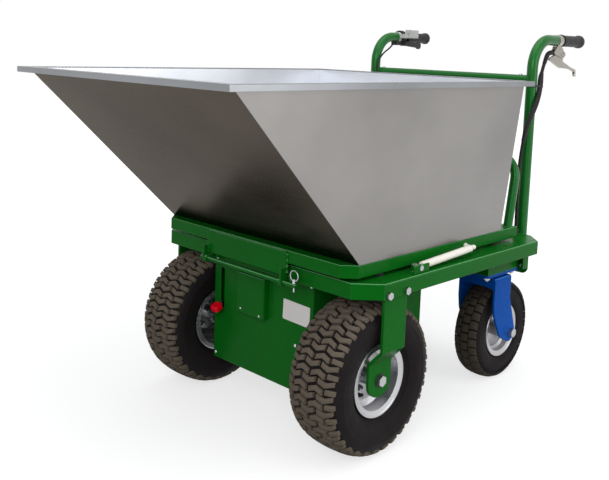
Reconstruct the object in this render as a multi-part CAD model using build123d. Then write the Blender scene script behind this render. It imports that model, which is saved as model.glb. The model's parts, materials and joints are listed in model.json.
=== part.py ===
import math
import os
from build123d import *

# Electric wheelbarrow, millimetres: +X left side, -Y front, +Z up, ground at 0

# Fits
slip = 0.4
run_fit = 0.05
hole_fit = 0.1

# Drive wheels, 15x6.00-6 turf tyres
axle_y = -251.0
track_gap = 60.2
tyre_r = 190.5
tyre_w = 159.0
tyre_wall = 9.0
tyre_crown = 0.41
tread_depth = 6.0
tread_groove_w = 5.0
groove_step = 26.0
rim_flange_r = 92.0
rim_seat_r = 79.0
rim_well_r = 63.0
rim_half_w = 60.8
rim_wall = 3.5
rim_bead_r = 3.2
rim_disc_x = 10.0
shaft_r = 10.0
shaft_drive_r = 12.5
hub_flange_r = 46.0
hub_flange_t = 9.0
hub_boss_r = 21.0
axle_nut_af = 24.0
axle_nut_h = 8.0

# Casters
caster_inset = 141.8
caster_trail = 64.0
caster_r = 150.0
caster_w = 78.0
caster_tyre_wall = 7.0
caster_crown = 0.4
caster_groove = 4.0
caster_groove_x = 11.0
caster_rim_r = 82.0
caster_seat_r = 70.0
caster_well_r = 60.0
caster_rim_half_w = 36.0
caster_hub_r = 22.0
caster_axle_r = 8.0
caster_sleeve_r = 12.0
caster_sleeve_l = 6.0
caster_nut_af = 24.0
caster_nut_h = 10.0
plate_w = 140.0
plate_l = 174.0
plate_gap = 2.0
plate_t = 8.0
plate_fillet = 12.0
race_r = 42.0
race_h = 12.0
kingpin_r = 10.0
kingpin_head_r = 16.0
kingpin_head_h = 7.0
fork_t = 6.0
fork_gap = 112.0
fork_crown_t = 8.0
fork_fold_r = 7.0
fork_front = 30.0
fork_rear = 57.0
fork_drop = 72.0
fork_corner = 10.0
fork_knee_y = 2.0
fork_knee_up = 72.0
fork_knee_r = 27.0
fork_calf_back = 23.0
fork_calf_up = 22.0
fork_calf_r = 38.0
fork_eye_r = 29.0
spacer_h = 58.7
spacer_wall = 5.0

# Chassis, a folded tray
deck_half_w = 396.8
deck_front = -355.1
deck_rear = 444.4
deck_front_chamfer = 55.0
deck_rear_chamfer = 48.0
deck_top = 445.2
deck_depth = 38.5
deck_t = 4.0
apron_inset = 52.8
apron_h = 79.0
apron_return = 30.0
apron_corner = 18.0

# Wheel struts, bent plates bolted inside the chassis sides
strut_w = 82.0
strut_t = 8.0
strut_joggle = 37.8
strut_joggle_top = 84.5
strut_joggle_bottom = 44.5
strut_foot = 40.5
strut_foot_r = 36.0
strut_bolt_step = 66.0
strut_bolt_drop = 30.0
bolt_r = 5.0
bolt_af = 17.0
bolt_head_h = 7.0
bolt_tail = 3.0
bush_r = 14.0
bush_flange_r = 17.0
bush_flange_t = 2.0

# Drive casing under the chassis
casing_gap = 26.3
casing_front = -315.6
casing_rear = 128.0
casing_bottom = 108.0
casing_t = 3.0
casing_frame = 18.0
shaft_hole_r = 24.0
slot_inset = 32.0
slot_w = 16.0
slot_bottom = 254.0
slot_top = 368.0
cover_x0 = -78.0
cover_x1 = 29.0
cover_z0 = 269.0
cover_z1 = 378.0
cover_h = 18.0
battery_side = 17.0
battery_l = 198.0
battery_h = 171.0
battery_gap = 6.0
terminal_r = 8.0
terminal_h = 9.0
controller_l = 160.0
controller_w = 110.0
controller_h = 48.0
fin_count = 8
fin_h = 20.0
gearbox_x0 = 8.0
gearbox_w = 104.0
gearbox_r = 54.0
shaft_in = 40.0
motor_y = -225.0
motor_z = 308.0
motor_r = 42.0
lever_gap = 11.0
brake_l = 20.0
brake_r = 34.0
lever_shaft_r = 6.0

# Brake release lever of the drive motor
release_t = 5.0
release_w = 12.0
release_l = 116.0
release_angle = 23.7
knob_start = 106.0
knob_w = 30.0
knob_t = 17.0
knob_l = 29.0

# Tipping hinge
rod_y = -382.6
rod_z = 408.0
rod_r = 5.5
rod_over = 8.0
rod_tail = 8.0
rod_head_r = 9.0
rod_head_t = 5.0
lug_r = 10.5
lug_t = 6.0
leaf_half_w = 150.0
leaf_t = 6.0
leaf_bottom = 424.0
leaf_top = 483.0
tab_t = 5.0
pin_off = 36.0
pin_r = 2.2
pin_tip = 9.5
pin_head_r = 4.5
pin_head_h = 11.0
pull_ring_r = 13.0
pull_ring_wire = 1.5

# Tipping frame, folded channels on rubber buffers
tip_inset = 44.8
tip_front = -372.3
tip_rear = 350.0
tip_chamfer = 32.0
tip_h = 32.0
tip_rail_w = 40.0
tip_wall = 3.0
tip_cross_y = -40.0
buffer_h = 9.0
buffer_r = 15.0
buffer_ys = (-250.0, 0.0, 250.0)

# Hopper, welded from stainless sheet
sheet_t = 3.0
floor_over = 0.3
floor_front = -340.3
floor_rear = 260.3
mouth_flare = 33.3
mouth_front = -764.3
mouth_rear = 281.2
mouth_z = 902.2
lip_w = 20.0
lip_h = 14.0

# Rear hoop of the tipping frame
hoop_inset = 15.0
hoop_r = 13.0
hoop_foot_y = 325.0
hoop_top_y = 356.0
hoop_top_z = 684.0
hoop_bend = 62.0
hoop_wall = 2.5

# Gas springs at both sides
spring_inset = 17.8
clevis_y = -156.6
clevis_z = 458.0
clevis_gap = 10.0
clevis_t = 4.0
clevis_w = 30.0
clevis_foot = 3.0
clevis_bolt_r = 4.0
clevis_nut_af = 13.0
clevis_nut_h = 5.5
stud_y = 86.4
stud_z = 470.2
stud_r = 4.0
stud_head_r = 6.5
spring_r = 9.5
spring_bore_r = 7.0
spring_nose = 40.0
spring_nose_l = 10.0
spring_tail = 16.0
spring_rod_r = 4.0
spring_rod_in = 205.0
spring_eye_r = 9.0
spring_eye_w = 9.4

# Handlebars
post_inset = 96.8
post_y = 471.4
post_r = 16.0
post_wall = 2.5
post_foot = 330.0
post_bend = 86.0
handle_z = 1022.0
bar_end = 600.0
stub_r = 11.0
stub_plug = 30.0
cross_r = 13.5
cross_drop = 119.0
saddle_w = 60.0
saddle_h = 32.0
saddle_zs = (352.0, 424.0)
ubolt_r = 4.0
ubolt_nut_af = 13.0
ubolt_nut_h = 6.5
grip_start = 630.5
grip_end = 757.0
grip_r = 17.8
grip_waist_r = 17.2
grip_flare_r = 20.2
grip_cap = 6.0
grip_bead = 1.5
grip_flare_l = 22.0

# Brake lever under the left handlebar
clamp_y0 = 603.0
clamp_y1 = 625.0
clamp_r = 17.0
perch_y = 640.0
perch_drop = 42.0
cheek_t = 4.0
blade_t = 7.0
pivot_r = 4.0
blade_drop = 29.0
belly_reach = -6.0
belly_r = 12.0
finger_reach = 33.0
finger_fall = 36.0
finger_r = 6.7
neck_reach = 57.0
neck_fall = 41.0
neck_r = 3.6
hook_reach = 92.0
hook_fall = 50.0
hook_r = 4.5
lever_reach = 96.0
lever_fall = 62.0
lever_end_r = 4.0
lever_arm = 69.0
arm_fall = 14.5
arm_r = 4.5
lever_ball_r = 6.0
barrel_r = 5.5
barrel_y = 580.0

# Throttle and switch box on the right handlebar
collar_y0 = 592.4
collar_y1 = 609.0
collar_r = 24.0
body_y0 = 566.0
body_drop = 28.0
body_half_w = 12.0
band_y0 = 578.0
band_y1 = 590.0
band_r = 18.5
box_y0 = 592.0
box_y1 = 638.0
box_in = 28.0
box_w = 24.0
box_h = 29.5
box_below = 3.0
box_fillet = 3.0
button_r = 4.5
button_h = 3.0
button_in = 5.0
button_travel = 2.5
button_up = 20.0
thumb_x = 24.0
thumb_y = 606.0
thumb_below = 22.0
thumb_l = 70.0
thumb_drop = 5.0
thumb_t = 7.0
pad_r = 12.5
thumb_pin_r = 4.0

# Control cables
brake_cable_r = 5.0
throttle_cable_r = 2.75
gland_r = 8.0
gland_h = 16.0
gland_in = 49.4

# Cable runs: offsets from the post to the outside and to the rear, and share of the height up to the bar
brake_run = ((1, 73, 0.898), (4, 54, 0.850), (9, 36, 0.804), (17, 21, 0.756), (24, 3, 0.699),
             (23.5, -16, 0.638), (18.5, -33, 0.579), (13, -43, 0.506), (10, -49, 0.426),
             (8.5, -53, 0.346), (8, -55, 0.256), (8, -53, 0.167), (8, -50.5, 0.087))
throttle_run = ((-15, 54, 0.930), (-20.5, 21, 0.906), (-21.5, -1, 0.877), (-22, -15, 0.840),
                (-22.5, -21, 0.791), (-22.5, -23, 0.711), (-21, -27, 0.604),
                (-18, -33, 0.488), (-14, -39, 0.372), (-9, -45, 0.248), (-4, -49, 0.140))

# Levels and places that follow from the sizes above
axle_z = tyre_r
deck_bottom = deck_top - deck_depth
deck_under = deck_top - deck_t
flange_in = deck_half_w - deck_t
strut_x = flange_in - strut_joggle
track_half = strut_x - track_gap
casing_half_w = track_half - tyre_w / 2 - casing_gap
slot_x = slot_inset - casing_half_w
motor_end = slot_x + lever_gap
battery_w = casing_half_w - casing_t - battery_gap / 2 - battery_side
leg_end = deck_rear - deck_t - ubolt_nut_h - ubolt_r / 2
caster_y = leg_end - plate_gap - plate_l / 2
caster_x = deck_half_w - caster_inset
apron_half_w = deck_half_w - apron_inset
tip_half_w = deck_half_w - tip_inset
floor_half_w = tip_half_w + floor_over
mouth_half_w = floor_half_w + mouth_flare
hoop_half_w = tip_half_w - hoop_inset
spring_x = deck_half_w - spring_inset
post_x = deck_half_w - post_inset
cross_z = handle_z - cross_drop
perch_z = handle_z - perch_drop
thumb_z = handle_z - thumb_below
gland_top = deck_top + gland_h
origin_y = (mouth_front - lip_w + grip_end) / 2
tip_bottom = deck_top + buffer_h
tip_top = tip_bottom + tip_h
plate_top = deck_bottom - spacer_h
plate_bottom = plate_top - plate_t
crown_top = plate_bottom - race_h - slip
caster_axle_y = caster_y + caster_trail
disc_x = track_half + rim_disc_x

os.makedirs("parts", exist_ok=True)


def write(node, *shapes):
    """Save the solids of one named piece or group of like pieces, with the origin at mid length."""
    solids = [Pos(0, -origin_y, 0) * solid for shape in shapes for solid in shape.solids()]
    export_step(solids[0] if len(solids) == 1 else Compound(solids), f"parts/{node}.step")


def block(x0, x1, y0, y1, z0, z1):
    """Box between two opposite corners."""
    centre = Pos((x0 + x1) / 2, (y0 + y1) / 2, (z0 + z1) / 2)
    return centre * Box(x1 - x0, y1 - y0, z1 - z0)


def bar_x(r, x0, x1, y, z):
    """Round bar along X."""
    return Pos((x0 + x1) / 2, y, z) * Rot(0, 90, 0) * Cylinder(r, abs(x1 - x0))


def bar_y(r, x, y0, y1, z):
    """Round bar along Y."""
    return Pos(x, (y0 + y1) / 2, z) * Rot(90, 0, 0) * Cylinder(r, abs(y1 - y0))


def bar_z(r, x, y, z0, z1):
    """Round bar along Z."""
    return Pos(x, y, (z0 + z1) / 2) * Cylinder(r, abs(z1 - z0))


def hex_x(af, x0, x1, y, z):
    """Hexagon bar along X."""
    face = RegularPolygon(af / 2, 6, major_radius=False)
    return Pos(min(x0, x1), y, z) * Rot(0, 90, 0) * extrude(face, amount=abs(x1 - x0))


def plate_yz(face, x0, x1):
    """Plate cut from a (Y, Z) outline, between two X planes."""
    return Pos(x0, 0, 0) * extrude(Plane.YZ * face, amount=x1 - x0)


def turned_x(outline, x, y, z):
    """Body turned about the X axis through (y, z) from an (x, radius) outline."""
    face = Plane.XY * make_face(Polyline(*outline, close=True))
    return Pos(x, y, z) * revolve(face, axis=Axis.X)


def bent_sheet(points, t):
    """Outline of a sheet of thickness t folded along a polyline, on its left-hand side."""
    path = [Vector(*p) for p in points]
    runs = [(b - a).normalized() for a, b in zip(path, path[1:])]
    normals = [Vector(-d.Y, d.X) for d in runs]
    inner = []
    for i, p in enumerate(path):
        before = normals[max(i - 1, 0)]
        after = normals[min(i, len(normals) - 1)]
        inner.append(p + (before + after) * (t / (1 + before.dot(after))))
    return make_face(Polyline(*path, *reversed(inner), close=True))


def flip(shape):
    """The same piece on the other side of the barrow."""
    return mirror(shape, about=Plane.YZ)


def corner_points(half_w, front, rear, front_chamfer, rear_chamfer):
    """Corners of a plan outline that is chamfered at the front and at the rear."""
    right = [(half_w - front_chamfer, front), (half_w, front + front_chamfer)]
    right += [(half_w, rear - rear_chamfer), (half_w - rear_chamfer, rear)]
    left = [(-x, y) for x, y in reversed(right)]
    return [p for i, p in enumerate(right + left) if p != (right + left)[i - 1]]


def cut_corners(*sizes):
    """Plan outline with chamfered corners."""
    return make_face(Polyline(*corner_points(*sizes), close=True))


def edge_strips(points, t):
    """Plan outlines of the strips of width t inside the edges of an outline, mitred at its corners."""
    corners = [Vector(*p) for p in points]
    runs = [(b - a).normalized() for a, b in zip(corners, corners[1:] + corners[:1])]
    normals = [Vector(-d.Y, d.X) for d in runs]
    inner = [p + (normals[i - 1] + normals[i]) * (t / (1 + normals[i - 1].dot(normals[i])))
             for i, p in enumerate(corners)]
    faces = []
    for i in range(len(corners)):
        faces.append(make_face(Polyline(corners[i - 1], corners[i], inner[i], inner[i - 1], close=True)))
    return faces


# Chassis deck: plate with folded flanges and hinge lugs at the front
deck_sizes = (deck_half_w, deck_front, deck_rear, deck_front_chamfer, deck_rear_chamfer)
deck_plate = Pos(0, 0, deck_under) * extrude(cut_corners(*deck_sizes), amount=deck_t)
deck_plate = fillet(deck_plate.faces().sort_by(Axis.Z)[-1].edges(), 0.75 * deck_t)
flanges = []
for strip in edge_strips(corner_points(*deck_sizes), deck_t):
    flanges.append(Pos(0, 0, deck_bottom) * extrude(strip, amount=deck_depth - deck_t))
lug_face = Pos(rod_y, rod_z) * Circle(lug_r)
lug_face += Pos((rod_y + deck_front) / 2, rod_z) * Rectangle(deck_front - rod_y, 2 * lug_r)
lug_face -= Pos(rod_y, rod_z) * Circle(rod_r + run_fit)
lug_x = leaf_half_w - tab_t - slip - lug_t
lug = plate_yz(lug_face, lug_x, lug_x + lug_t)
strut_bolt_ys = [axle_y - strut_bolt_step / 2, axle_y + strut_bolt_step / 2]
strut_bolt_z = deck_top - strut_bolt_drop
flange_holes = []
for y in strut_bolt_ys:
    hole = bar_x(bolt_r + hole_fit, flange_in - deck_t, deck_half_w + deck_t, y, strut_bolt_z)
    flange_holes += [hole, flip(hole)]

# Rear apron: plate below the rear edge with a return at each end
apron_z0 = deck_bottom - apron_h
apron = block(-apron_half_w, apron_half_w, deck_rear - deck_t, deck_rear, apron_z0, deck_bottom)
apron = fillet(apron.edges().filter_by(Axis.Y).group_by(Axis.Z)[0], apron_corner)
apron_side = block(apron_half_w - deck_t, apron_half_w, deck_rear - apron_return, deck_rear - deck_t,
                   apron_z0 + apron_corner, deck_bottom)

# Caster spacers: open-topped boxes between the deck and the caster plates
spacer = block(-plate_w / 2, plate_w / 2, -plate_l / 2, plate_l / 2, plate_top, deck_under)
inner_w = plate_w / 2 - spacer_wall
inner_l = plate_l / 2 - spacer_wall
spacer -= block(-inner_w, inner_w, -inner_l, inner_l, plate_top + spacer_wall, deck_under)
spacer = Pos(caster_x, caster_y, 0) * spacer

# Caster plates with the upper race and the kingpin
crown_bottom = crown_top - fork_crown_t
plate = block(-plate_w / 2, plate_w / 2, -plate_l / 2, plate_l / 2, plate_bottom, plate_top)
plate = fillet(plate.edges().filter_by(Axis.Z), plate_fillet)
plate += bar_z(race_r, 0, 0, plate_bottom - race_h, plate_bottom)
plate += bar_z(kingpin_r, 0, 0, crown_bottom - slip - kingpin_head_h, plate_bottom)
plate += bar_z(kingpin_head_r, 0, 0, crown_bottom - slip - kingpin_head_h, crown_bottom - slip)
plate = Pos(caster_x, caster_y, 0) * plate

# Wheel struts: plates with a joggle that brings the foot inside the tyre
strut_path = [(flange_in, strut_bolt_z + strut_bolt_drop - deck_t)]
strut_path += [(flange_in, axle_z + strut_joggle_top), (strut_x, axle_z + strut_joggle_bottom)]
strut_path += [(strut_x, axle_z - strut_foot)]
strut = extrude(Plane.XZ * bent_sheet(strut_path, -strut_t), amount=strut_w / 2, both=True)
strut = fillet(strut.edges().filter_by(Axis.X).group_by(Axis.Z)[0], strut_foot_r)
strut = Pos(0, axle_y, 0) * strut
strut -= bar_x(bush_r, strut_x - 2 * strut_t, deck_half_w, axle_y, axle_z)
for y in strut_bolt_ys:
    strut -= bar_x(bolt_r + hole_fit, flange_in - 2 * strut_t, deck_half_w, y, strut_bolt_z)

# Strut bolts with heads outside and nuts inside
strut_bolts = []
for y in strut_bolt_ys:
    bolt = hex_x(bolt_af, deck_half_w, deck_half_w + bolt_head_h, y, strut_bolt_z)
    nut_x = flange_in - strut_t
    bolt += bar_x(bolt_r, nut_x - bolt_head_h - bolt_tail, deck_half_w + bolt_head_h / 2, y, strut_bolt_z)
    bolt += hex_x(bolt_af, nut_x - bolt_head_h, nut_x, y, strut_bolt_z)
    strut_bolts += [bolt, flip(bolt)]

# Flanged axle bushes in the strut feet
bush = bar_x(bush_r - run_fit, strut_x - strut_t, strut_x + bush_flange_t, axle_y, axle_z)
bush += bar_x(bush_flange_r, strut_x, strut_x + bush_flange_t, axle_y, axle_z)
bush -= bar_x(shaft_r + run_fit, strut_x - 2 * strut_t, deck_half_w, axle_y, axle_z)

write("caster_spacers", spacer, flip(spacer))
write("caster_plates", plate, flip(plate))
write("wheel_struts", strut, flip(strut))
write("strut_bolts", *strut_bolts)
write("strut_bushes", bush, flip(bush))

# Casing shell: open at the top against the deck, framed at the front for its panel
panel_back = casing_front + casing_t
shell = block(-casing_half_w, casing_half_w, panel_back, casing_rear, casing_bottom, deck_under)
inner_w = casing_half_w - casing_t
floor_z = casing_bottom + casing_t
shell -= block(-inner_w, inner_w, panel_back + casing_t, casing_rear - casing_t, floor_z, deck_under)
frame_in = casing_half_w - casing_frame
shell -= block(-frame_in, frame_in, panel_back, casing_rear - casing_t, floor_z + casing_frame, deck_under)
shell -= bar_x(shaft_hole_r, -deck_half_w, deck_half_w, axle_y, axle_z)

# Front panel with the lever slot and the opening behind the access cover
panel = block(-casing_half_w, casing_half_w, casing_front, panel_back, casing_bottom, deck_under)
slot_z = (slot_bottom + slot_top) / 2
slot_face = Pos(slot_x, slot_z) * SlotOverall(slot_top - slot_bottom, slot_w, rotation=90)
panel -= Pos(0, panel_back, 0) * extrude(Plane.XZ * slot_face, amount=2 * casing_t)
cover = block(cover_x0, cover_x1, casing_front - cover_h, casing_front, cover_z0, cover_z1)
cover = fillet(cover.faces().sort_by(Axis.Y)[0].edges(), casing_t)
cover -= block(cover_x0 + casing_t, cover_x1 - casing_t, casing_front - cover_h + casing_t, casing_front,
               cover_z0 + casing_t, cover_z1 - casing_t)
window_lip = 4 * casing_t
panel -= block(cover_x0 + window_lip, cover_x1 - window_lip, casing_front, panel_back,
               cover_z0 + window_lip, cover_z1 - window_lip)

# Batteries side by side at the rear of the casing floor
battery_x = (battery_w + battery_gap) / 2
battery_rear = casing_rear - casing_t - slip
battery = block(-battery_w / 2, battery_w / 2, battery_rear - battery_l, battery_rear,
                floor_z, floor_z + battery_h)
for side in (-1, 1):
    battery += bar_z(terminal_r, side * battery_w / 3, battery_rear - battery_l / 6,
                     floor_z + battery_h, floor_z + battery_h + terminal_h)
battery = Pos(battery_x, 0, 0) * battery

# Motor controller with cooling fins, hung from the deck over the batteries
controller_y = battery_rear - battery_l / 2
controller = block(-controller_l / 2, controller_l / 2, controller_y - controller_w / 2,
                   controller_y + controller_w / 2, deck_under - controller_h, deck_under)
fin_step = controller_l / fin_count
for i in range(fin_count - 1):
    x = -controller_l / 2 + (i + 1) * fin_step
    controller -= block(x - fin_step / 4, x + fin_step / 4, controller_y - controller_w / 2,
                        controller_y + controller_w / 2, deck_under - controller_h,
                        deck_under - controller_h + fin_h)

# Gearbox round the axle line and the motor axis, standing on the casing floor
gearbox_x1 = gearbox_x0 + gearbox_w
box_face = make_hull((Pos(axle_y, axle_z) * Circle(gearbox_r)).edges()
                     + (Pos(motor_y, motor_z) * Circle(motor_r + casing_t)).edges())
gearbox = plate_yz(box_face, gearbox_x0, gearbox_x1)
gearbox += block(gearbox_x0, gearbox_x1, axle_y - gearbox_r, axle_y + gearbox_r, floor_z,
                 axle_z - gearbox_r / 2)
gearbox -= bar_x(shaft_drive_r + run_fit, gearbox_x0, gearbox_x0 + shaft_in, axle_y, axle_z)
gearbox -= bar_x(shaft_drive_r + run_fit, gearbox_x1 - shaft_in, gearbox_x1, axle_y, axle_z)

# Motor with its end brake and the pin of the release lever
brake_x = motor_end + brake_l
motor = bar_x(motor_r, brake_x, gearbox_x0, motor_y, motor_z)
motor += bar_x(brake_r, motor_end, brake_x, motor_y, motor_z)
motor += bar_x(lever_shaft_r, slot_x - release_t, motor_end, motor_y, motor_z)

# Release lever and its flattened knob, drawn level and then turned to rest
bar_face = Pos(0, 0) * Circle(release_w)
bar_face += Pos(-release_l / 2, 0) * Rectangle(release_l, release_w)
bar_face -= Circle(lever_shaft_r + run_fit)
release = plate_yz(bar_face, slot_x - release_t / 2, slot_x + release_t / 2)
knob_face = Pos(-knob_start - knob_l / 2, 0) * Rectangle(knob_l, knob_t)
knob = plate_yz(knob_face, slot_x - knob_w / 2, slot_x + knob_w / 2)
knob = fillet(knob.edges().filter_by(Axis.Z), knob_w / 3)
knob = fillet(knob.faces().filter_by(Axis.Z).edges(), knob_t / 4)
knob -= block(slot_x - release_t / 2, slot_x + release_t / 2, -release_l, 0, -release_w / 2, release_w / 2)
release_rest = Pos(0, motor_y, motor_z) * Rot(release_angle, 0, 0)
release = release_rest * release
knob = release_rest * knob

write("casing_shell", shell)
write("casing_front_panel", panel)
write("access_cover", cover)
write("batteries", battery, flip(battery))
write("motor_controller", controller)
write("gearbox", gearbox)
write("drive_motor", motor)
write("release_lever", release)
write("release_knob", knob)

# Hinge rod with a head at its right end and a cross hole for the lynch pin
pin_x = leaf_half_w + pin_off
rod = bar_x(rod_r, -leaf_half_w - rod_over, pin_x + rod_tail, rod_y, rod_z)
rod += bar_x(rod_head_r, -leaf_half_w - rod_over - rod_head_t, -leaf_half_w - rod_over, rod_y, rod_z)
rod -= bar_z(pin_r + hole_fit, pin_x, rod_y, rod_z - 2 * rod_r, rod_z + 2 * rod_r)

# Lynch pin: shank, collar on the rod and eye for the pull ring
collar_z = rod_z + rod_r + slip
lynch = bar_z(pin_r, pin_x, rod_y, rod_z - rod_r - pin_tip, collar_z)
lynch += bar_z(pin_head_r, pin_x, rod_y, collar_z, collar_z + pin_head_h)
eye_z = collar_z + pin_head_h / 2
lynch -= bar_x(pull_ring_wire + 2 * slip, pin_x - 2 * pin_head_r, pin_x + 2 * pin_head_r, rod_y, eye_z)
pull_ring = Pos(pin_x, rod_y, eye_z + pull_ring_r) * Rot(90, 0, 0) * Torus(pull_ring_r, pull_ring_wire)

# Hinge leaf: plate across the front of the tipping frame with a tab at each end
leaf = block(-leaf_half_w, leaf_half_w, tip_front - leaf_t, tip_front, leaf_bottom, leaf_top)
tab_face = Pos(rod_y, rod_z) * Circle(lug_r)
tab_top = leaf_bottom + 2 * lug_r
tab_face += Pos((rod_y - lug_r + tip_front) / 2, (rod_z + tab_top) / 2) * Rectangle(
    tip_front - rod_y + lug_r, tab_top - rod_z)
tab_face -= Pos(rod_y, rod_z) * Circle(rod_r + run_fit)
tab = plate_yz(tab_face, leaf_half_w - tab_t, leaf_half_w)
leaf += [tab, flip(tab)]

write("hinge_rod", rod)
write("lynch_pin", lynch, pull_ring)
write("hinge_leaf", leaf)

# Tipping frame: channels with their open side inward
rail_in = tip_half_w - tip_rail_w
front_in = tip_front + tip_rail_w
rear_in = tip_rear - tip_rail_w
inside_z = (tip_bottom + tip_wall, tip_top - tip_wall)
fold_r = 0.8 * tip_wall
side_rail = block(rail_in, tip_half_w, front_in, rear_in, tip_bottom, tip_top)
side_rail = fillet(side_rail.edges().filter_by(Axis.Y).group_by(Axis.X)[-1], fold_r)
side_rail -= block(rail_in, tip_half_w - tip_wall, front_in, rear_in, *inside_z)
front_face = cut_corners(tip_half_w, tip_front, front_in, tip_chamfer, 0)
front_rail = Pos(0, 0, tip_bottom) * extrude(front_face, amount=tip_h)
level = front_rail.edges().filter_by(Plane.XY)
front_rail = fillet([edge for edge in level if edge.center().Y < front_in - tip_wall], fold_r)
front_void = offset(cut_corners(tip_half_w, tip_front, front_in + 2 * tip_wall, tip_chamfer, 0), -tip_wall)
front_rail -= Pos(0, 0, inside_z[0]) * extrude(front_void, amount=tip_h - 2 * tip_wall)
rear_rail = block(-tip_half_w, tip_half_w, rear_in, tip_rear, tip_bottom, tip_top)
level = rear_rail.edges().filter_by(Plane.XY)
rear_rail = fillet([edge for edge in level if edge.center().Y > rear_in + tip_wall], fold_r)
rear_rail -= block(tip_wall - tip_half_w, tip_half_w - tip_wall, rear_in, tip_rear - tip_wall, *inside_z)
mid_rail = block(-rail_in, rail_in, tip_cross_y - tip_rail_w / 2, tip_cross_y + tip_rail_w / 2,
                 tip_bottom, tip_top)
mid_rail -= block(-rail_in, rail_in, tip_cross_y - tip_rail_w / 2 + tip_wall,
                  tip_cross_y + tip_rail_w / 2 - tip_wall, *inside_z)

# Rubber buffers on the deck under the side rails
buffers = []
for y in buffer_ys:
    pad = bar_z(buffer_r, tip_half_w - tip_rail_w / 2, y, deck_top, tip_bottom - slip)
    buffers += [pad, flip(pad)]

write("tipping_frame_rails", side_rail, flip(side_rail), front_rail, rear_rail, mid_rail)
write("tip_buffers", *buffers)

# Hopper panels: each sheet is lofted from its outer face to its inner face, mitred at the welds
hopper_rise = mouth_z - tip_top
side_lean = (mouth_half_w - floor_half_w) / hopper_rise
front_lean = (mouth_front - floor_front) / hopper_rise
rear_lean = (mouth_rear - floor_rear) / hopper_rise
side_inset = sheet_t * math.hypot(1, side_lean)
front_inset = sheet_t * math.hypot(1, front_lean)
rear_inset = sheet_t * math.hypot(1, rear_lean)


def corner(side, rear, z, inner):
    """Hopper corner at height z, on the outer or the inner face of the sheets."""
    up = z - tip_top
    x = floor_half_w + side_lean * up - inner * side_inset
    y = floor_rear + rear_lean * up - inner * rear_inset
    if not rear:
        y = floor_front + front_lean * up + inner * front_inset
    return Vector(side * x, y, z)


def sheet(first, second, low, high):
    """Sheet between two (side, rear) corners, from its outer face to its inner face."""
    faces = []
    for inner in (0, 1):
        z0 = low + inner * sheet_t
        points = [corner(*first, z0, inner), corner(*second, z0, inner)]
        points += [corner(*second, high, inner), corner(*first, high, inner)]
        faces.append(Face(Wire.make_polygon(points, close=True)))
    return loft(faces, ruled=True)


ring_order = [(-1, 0), (1, 0), (1, 1), (-1, 1)]
floor_faces = []
for inner in (0, 1):
    points = [corner(*c, tip_top + inner * sheet_t, inner) for c in ring_order]
    floor_faces.append(Face(Wire.make_polygon(points, close=True)))
hopper_floor = loft(floor_faces, ruled=True)
hopper_front = sheet((-1, 0), (1, 0), tip_top, mouth_z)
hopper_rear = sheet((1, 1), (-1, 1), tip_top, mouth_z)
hopper_side = sheet((1, 0), (1, 1), tip_top, mouth_z)

# Folded rim: flange and down-turned edge, mitred at the corners
rim_x = mouth_half_w + lip_w
rim_front = mouth_front - lip_w
rim_rear = mouth_rear + lip_w
rim_top = mouth_z + sheet_t


def rim_corner(side, rear, inset):
    """Plan point on the rim's outer edge, moved inward by an inset."""
    return (side * (rim_x - inset), rim_rear - inset if rear else rim_front + inset)


rim_members = []
for first, second in zip(ring_order, ring_order[1:] + ring_order[:1]):
    outer = [rim_corner(*first, 0), rim_corner(*second, 0)]
    skirt = [rim_corner(*second, sheet_t), rim_corner(*first, sheet_t)]
    mouth = [corner(*second, mouth_z, 1), corner(*first, mouth_z, 1)]
    flange = [(p.X, p.Y) for p in mouth]
    member = Pos(0, 0, mouth_z) * extrude(make_face(Polyline(*outer, *flange, close=True)), amount=sheet_t)
    run = Axis.X if first[1] == second[1] else Axis.Y
    rounded = member.edges().filter_by(run).group_by(Axis.Z)[-1]
    edge = max(rounded, key=lambda e: abs(e.center().X) + abs(e.center().Y + deck_half_w / 2))
    member = fillet(edge, sheet_t * 0.8)
    lip_face = make_face(Polyline(*outer, *skirt, close=True))
    member += Pos(0, 0, rim_top - lip_h) * extrude(lip_face, amount=lip_h - sheet_t)
    rim_members.append(member)

write("hopper_floor", hopper_floor)
write("hopper_front_panel", hopper_front)
write("hopper_rear_panel", hopper_rear)
write("hopper_side_panels", hopper_side, flip(hopper_side))
write("hopper_rim", *rim_members)


def bent_bar(section, points, radii):
    """Section swept along straight runs with the given bend radii."""
    path = FilletPolyline(*points, radius=radii)
    return sweep(Plane(path @ 0, z_dir=path % 0) * section, path=path)


# Rear hoop on the tipping frame, leaning back, feet cut flush with the rail
hoop_lean = (hoop_top_y - hoop_foot_y) / (hoop_top_z - tip_top)
foot = (hoop_half_w, hoop_foot_y - hoop_lean * hoop_r, tip_top - hoop_r)
shoulder = (hoop_half_w, hoop_top_y, hoop_top_z)
hoop_points = [foot, shoulder, (-shoulder[0], *shoulder[1:]), (-foot[0], *foot[1:])]
hoop = bent_bar(Circle(hoop_r) - Circle(hoop_r - hoop_wall), hoop_points, hoop_bend)
hoop -= block(-deck_half_w, deck_half_w, 0, deck_rear, deck_bottom, tip_top)
write("rear_hoop", hoop)

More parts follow.
